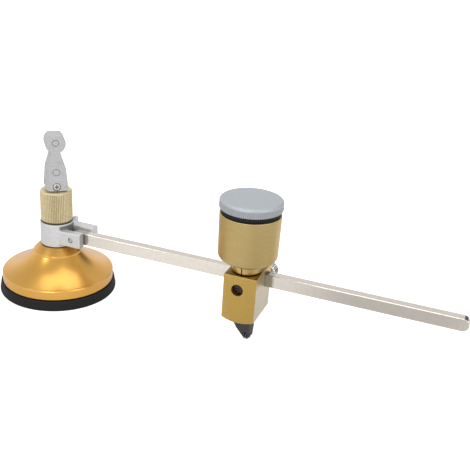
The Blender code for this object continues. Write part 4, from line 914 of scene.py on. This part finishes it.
# Neck ring: a split ring of the turret's gold metal, clamped round the spindle between block and handle,
# with painted shade on its top and at its foot.
gold_dark = finish("gold_dark", (0.74, 0.55, 0.22), (0.58, 0.4, 0.15), (0.8, 0.6, 0.28),
                   roughness=(0.24, 0.36), metallic=1, grain=0.5, bump=0.012, axis=TURRET, marks=0.6,
                   groove=1.0)
RING_LOW, RING_TOP = 40.7, 45.0
RING_RADIUS, RING_BORE = 7.8, 3.5
# Painted shade on the ring's top, under the barrel, and at its foot on the block.
RING_SHADE = ((RING_LOW, 0.45), (RING_LOW + 0.4, 0.3), (RING_LOW + 0.9, 0.0), (RING_TOP - 0.95, 0.0),
              (RING_TOP - 0.6, 0.95))
shade_heights, shade_weights = zip(*RING_SHADE)
RING = [(RING_BORE, RING_TOP, 0.1), (RING_RADIUS, RING_TOP, 0.45)]
RING += [(RING_RADIUS, height, 0) for height in shade_heights[:1:-1]]
RING += [(RING_RADIUS, RING_LOW, 0.45), (RING_BORE, RING_LOW, 0.1)]
ring = turned("split_ring", filleted(RING, True), TURRET, closed=True)
split = block("split", (-0.3, -9, RING_LOW - 1), (0.3, 0, RING_TOP + 1), TURRET)
ring = worked(ring, "DIFFERENCE", split)
paint_shade(ring, np.interp(places_of(ring)[:, 2], shade_heights, shade_weights))
fit(ring, "neck_ring", gold_dark)


# Handle barrel: turned from gold anodised bar with fine turning marks, hollow above its floor for spare
# wheels or oil. A washer and a slotted screw inside hold it on the spindle. Its underside carries painted
# shade.
BARREL_LOW, BARREL_TOP = 47.1, 72.3
HUB_LOW, BARREL_FLOOR = 45.3, 50.1
HOLLOW_RADIUS, HUB_RADIUS = 12.9, 5.5
BARREL = [(HOLLOW_RADIUS, BARREL_TOP, 0.3), (15.8, BARREL_TOP, 0.4), (15.4, BARREL_LOW, 3.0)]
BARREL += [(HUB_RADIUS, BARREL_LOW, 0), (HUB_RADIUS, HUB_LOW, 0.2), (3.5, HUB_LOW, 0.1)]
BARREL += [(3.5, BARREL_FLOOR, 0.1), (HOLLOW_RADIUS, BARREL_FLOOR, 0.8)]
# The underside's round is darkened: painted shade where the barrel meets the ring.
BARREL_SHADE = 0.85
gold_turned = finish("gold_turned", (0.66, 0.5, 0.22), (0.5, 0.37, 0.15), (0.8, 0.64, 0.36),
                     roughness=(0.36, 0.5), metallic=1, grain=0.5, bump=0.02, axis=TURRET, marks=0.7,
                     groove=1.0)
barrel = turned("gold_barrel", filleted(BARREL, True, 10), TURRET, steps=224, closed=True)
paint_shade(barrel, BARREL_SHADE * ramp(places_of(barrel)[:, 2], BARREL_LOW + 0.9, BARREL_LOW + 0.4))
fit(barrel, "handle_barrel", gold_turned)

WASHER_TOP = 51.5
WASHER_LOW = WASHER_TOP - 0.8
HOLDER = [(1.8, WASHER_TOP, 0.1), (6.0, WASHER_TOP, 0.2), (6.0, WASHER_LOW, 0.2), (1.8, WASHER_LOW, 0.1)]
holder = turned("holding_washer", filleted(HOLDER, True), TURRET, steps=96, closed=True)
fit(holder, "handle_washer", steel_plain)
SEAT = WASHER_TOP + 0.3
CHEESE = [(0, SEAT + 2.4, 0), (3.6, SEAT + 2.4, 0.5), (3.6, SEAT, 0.15), (1.5, SEAT, 0.1)]
CHEESE += [(1.5, SEAT - 7.5, 0.3), (0, SEAT - 7.5, 0)]
cheese_screw = turned("cheese_screw", filleted(CHEESE), TURRET, steps=96)
cheese_slot = block("cheese_slot", (-5, -0.4, SEAT + 1.5), (5, 0.4, SEAT + 4), TURRET)
fit(worked(cheese_screw, "DIFFERENCE", cheese_slot), "handle_screw", steel_screw)


# Seal ring: black rubber under the cap, a little slimmer than cap and barrel.
SEAL_LOW, SEAL_TOP, SEAL_RADIUS = 72.6, 74.6, 15.2
SEAL = [(HOLLOW_RADIUS, SEAL_TOP, 0.2), (SEAL_RADIUS, SEAL_TOP, 0.5)]
SEAL += [(SEAL_RADIUS, SEAL_LOW, 0.5), (HOLLOW_RADIUS, SEAL_LOW, 0.2)]
fit(turned("rubber_seal", filleted(SEAL, True), TURRET, closed=True), "seal_ring", rubber_black)


# Cap: turned aluminium, satin grey, with a slightly crowned top, a rounded rim and a fine knurl on its edge.
# Its hollow spigot screws into the barrel.
# The knurl's roots are darkened by their depth: painted shade.
cap_satin = finish("cap_satin", (0.54, 0.57, 0.6), (0.47, 0.5, 0.53), (0.66, 0.68, 0.7),
                   roughness=(0.38, 0.5), metallic=0.55, grain=0.6, bump=0.012, axis=TURRET, marks=0.2,
                   groove=0.8)
CAP_LOW, CAP_TOP = 74.9, 80.1
CAP_RADIUS, CAP_SPIGOT, CAP_HOLLOW = 16.2, 12.6, 10.7
CAP_FOOT, CAP_CEILING = CAP_LOW - 8.9, CAP_TOP - 4.0
CAP_TEETH, CAP_TOOTH = 96, 0.28
CAP = [(0, CAP_TOP, 0), (9.0, CAP_TOP - 0.08, 8.0), (CAP_RADIUS, CAP_TOP - 0.3, 1.3)]
CAP += close_rows(CAP_LOW + 0.3, CAP_TOP - 1.8, CAP_RADIUS, 0.4)
CAP += [(CAP_RADIUS - 0.3, CAP_LOW, 0.1), (CAP_SPIGOT, CAP_LOW, 0.1), (CAP_SPIGOT, CAP_FOOT, 0.3)]
CAP += [(CAP_HOLLOW, CAP_FOOT, 0.2), (CAP_HOLLOW, CAP_CEILING, 0.5), (0, CAP_CEILING, 0)]


def cap_teeth(radius, height, angle):
    """The cap's knurl: a triangle wave round the edge, which fades out below the rounded rim."""
    wave = np.abs(np.mod(angle * CAP_TEETH / (2 * np.pi), 1) * 2 - 1)
    share = np.clip(((CAP_TOP - 1.5) * MM - height) / (0.7 * MM), 0, 1) * (height > (CAP_LOW - 0.05) * MM)
    side = radius > 15.5 * MM
    return radius - side * share * CAP_TOOTH * MM * (1 - wave)


cap = turned("screw_cap", filleted(CAP), TURRET, steps=CAP_TEETH * 6, teeth=cap_teeth)
fit(cap, "cap", cap_satin)


# Clamp screw: a nickel-plated thumb screw with a knurled head. It comes through the block's back, and its
# tip bears on the rod.
CLAMP_TEETH = 24
HEAD_LOW, HEAD_TOP, HEAD_SIDE = 9.0, 15.5, 5.4
SHANK = [(3.4, HEAD_LOW, 0), (3.4, 7.6, 0.2), (2.0, 7.6, 0), (2.0, 4.0, 0.3), (1.5, 4.0, 0), (1.5, 2.8, 0.3)]
THUMB = [(0, HEAD_TOP, 0), (HEAD_SIDE - 0.7, HEAD_TOP, 0.2)]
THUMB += close_rows(HEAD_LOW + 0.7, HEAD_TOP - 0.7, HEAD_SIDE) + [(HEAD_SIDE - 0.7, HEAD_LOW, 0.2)]
THUMB += SHANK + [(0, 2.8, 0)]
thumb_teeth = straight_teeth(HEAD_SIDE, 0.4, CLAMP_TEETH)
thumb = turned("thumb_screw", filleted(THUMB), CLAMP, TO_BACK, CLAMP_TEETH * 12, teeth=thumb_teeth)
# The knurl's roots are darkened by their depth: painted shade.
nickel_knurled = finish("nickel_knurled", (0.94, 0.93, 0.91), (0.74, 0.73, 0.71), (0.95, 0.95, 0.93),
                        roughness=(0.12, 0.3), metallic=1, grain=0.6, bump=0.01, groove=0.9)
fit(thumb, "clamp_screw", nickel_knurled)


# Cutter head: a moulded black wedge with a cross-hatched face. Its shank sits in the spindle's socket, and
# the wheel runs on an axle in the slot of its tip.
WEDGE_TOP = 13.1
WHEEL_X, WHEEL_RADIUS = 2.9, 2.4
WEDGE = [(-4.0, WEDGE_TOP, 0.3), (-4.0, 10.8, 0.4), (1.9, 0.6, 0.2), (3.9, 0.6, 0.2), (4.2, 1.4, 0.2)]
WEDGE += [(4.2, 1.9, 0.15), (5.0, 1.9, 0.15), (5.3, 2.4, 0.2), (5.3, WEDGE_TOP, 0.3)]
RIGHT_SIDE = [(1.5, 0, 0), (1.5, 0.6, 0), (4.0, 8.0, 0), (5.0, 8.0, 0), (5.0, WEDGE_TOP + 1, 0)]
SIDE = [(-across, height, 0) for across, height, _ in RIGHT_SIDE[::-1]] + RIGHT_SIDE
wedge = plate("black_wedge", filleted(WEDGE, True), -4.0, 4.0, 0.1, TURRET, TO_FRONT)
side_way = np.array(((0, 0, 1), (1, 0, 0), (0, 1, 0)))
wedge = worked(wedge, "INTERSECT", plate("taper", filleted(SIDE, True), -6, 7, 0, TURRET, side_way))
wedge = worked(wedge, "UNION", bar("shank", 2.0, WEDGE_TOP - 1, 26.7, TURRET, edge=0.2))
wheel_slot = block("wheel_slot", (WHEEL_X - 0.7, -6, -1), (WHEEL_X + 0.7, 6, 5.1), TURRET)
axle_hole = bar("axle_hole", 0.9, -6, 7, (TURRET_X, SPINDLE_Y, WHEEL_RADIUS), TO_RIGHT)
wedge = worked(wedge, "DIFFERENCE", wheel_slot, axle_hole)
black_hatched = finish("black_hatched", (0.014, 0.014, 0.018), (0.007, 0.007, 0.01), (0.06, 0.06, 0.07),
                       roughness=(0.4, 0.55), metallic=0, grain=0.6, bump=0.02)
HATCH_PITCH, HATCH_HEIGHT = 0.9, 0.08


def cross_hatch(material):
    """Crossing ridges in the moulded face: the higher of two triangle waves, of x + z and of x - z."""
    tree = material.node_tree
    shader = tree.nodes["Principled BSDF"].inputs
    parts = put(tree, "SeparateXYZ", {"Vector": put(tree, "TexCoord", {})["Object"]})
    crossing = [maths(tree, sign, parts["X"], parts["Z"]) for sign in ("ADD", "SUBTRACT")]
    waves = [maths(tree, "PINGPONG", along, HATCH_PITCH * MM) for along in crossing]
    low, high = 0.55 * HATCH_PITCH * MM, 0.95 * HATCH_PITCH * MM
    ridge = ranged(tree, maths(tree, "MAXIMUM", *waves), low, high, kind="SMOOTHSTEP")
    # The ridges are lightened: a painted highlight on their crests.
    plain = shader["Base Color"].links[0].from_socket
    tree.links.new(mixed(tree, ridge, plain, (0.1, 0.095, 0.105, 1), "RGBA"), shader["Base Color"])
    grain = shader["Normal"].links[0].from_socket
    relief = put(tree, "Bump", {"Distance": HATCH_HEIGHT * MM, "Height": ridge, "Normal": grain})["Normal"]
    tree.links.new(relief, shader["Normal"])


cross_hatch(black_hatched)
fit(wedge, "cutter_head", black_hatched)


# Cutting wheel: hard metal ground to an edge all round, on a steel axle through the tip.
AXLE_LOW, AXLE_HIGH = (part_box("wheel_axle")[0].x / MM - TURRET_X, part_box("wheel_axle")[1].x / MM - TURRET_X)
axle = bar("wheel_pin", 0.6, AXLE_LOW, AXLE_HIGH, (TURRET_X, SPINDLE_Y, WHEEL_RADIUS), TO_RIGHT, edge=0.1)
fit(axle, "wheel_axle", steel_plain)
HALF_WHEEL = [(0.9, 0.4, 0.05), (1.6, 0.4, 0.05), (WHEEL_RADIUS, 0.1, 0.05)]
WHEEL = HALF_WHEEL + [(radius, -out, edge) for radius, out, edge in HALF_WHEEL[::-1]]
wheel_place = (TURRET_X + WHEEL_X, SPINDLE_Y, WHEEL_RADIUS)
wheel = turned("hard_wheel", filleted(WHEEL, True), wheel_place, TO_RIGHT, 96, closed=True)
carbide_ground = finish("carbide_ground", (0.32, 0.33, 0.35), (0.24, 0.25, 0.27), (0.6, 0.6, 0.62),
                        roughness=(0.2, 0.3), metallic=1, grain=0.4, bump=0.003)
fit(wheel, "cutting_wheel", carbide_ground)
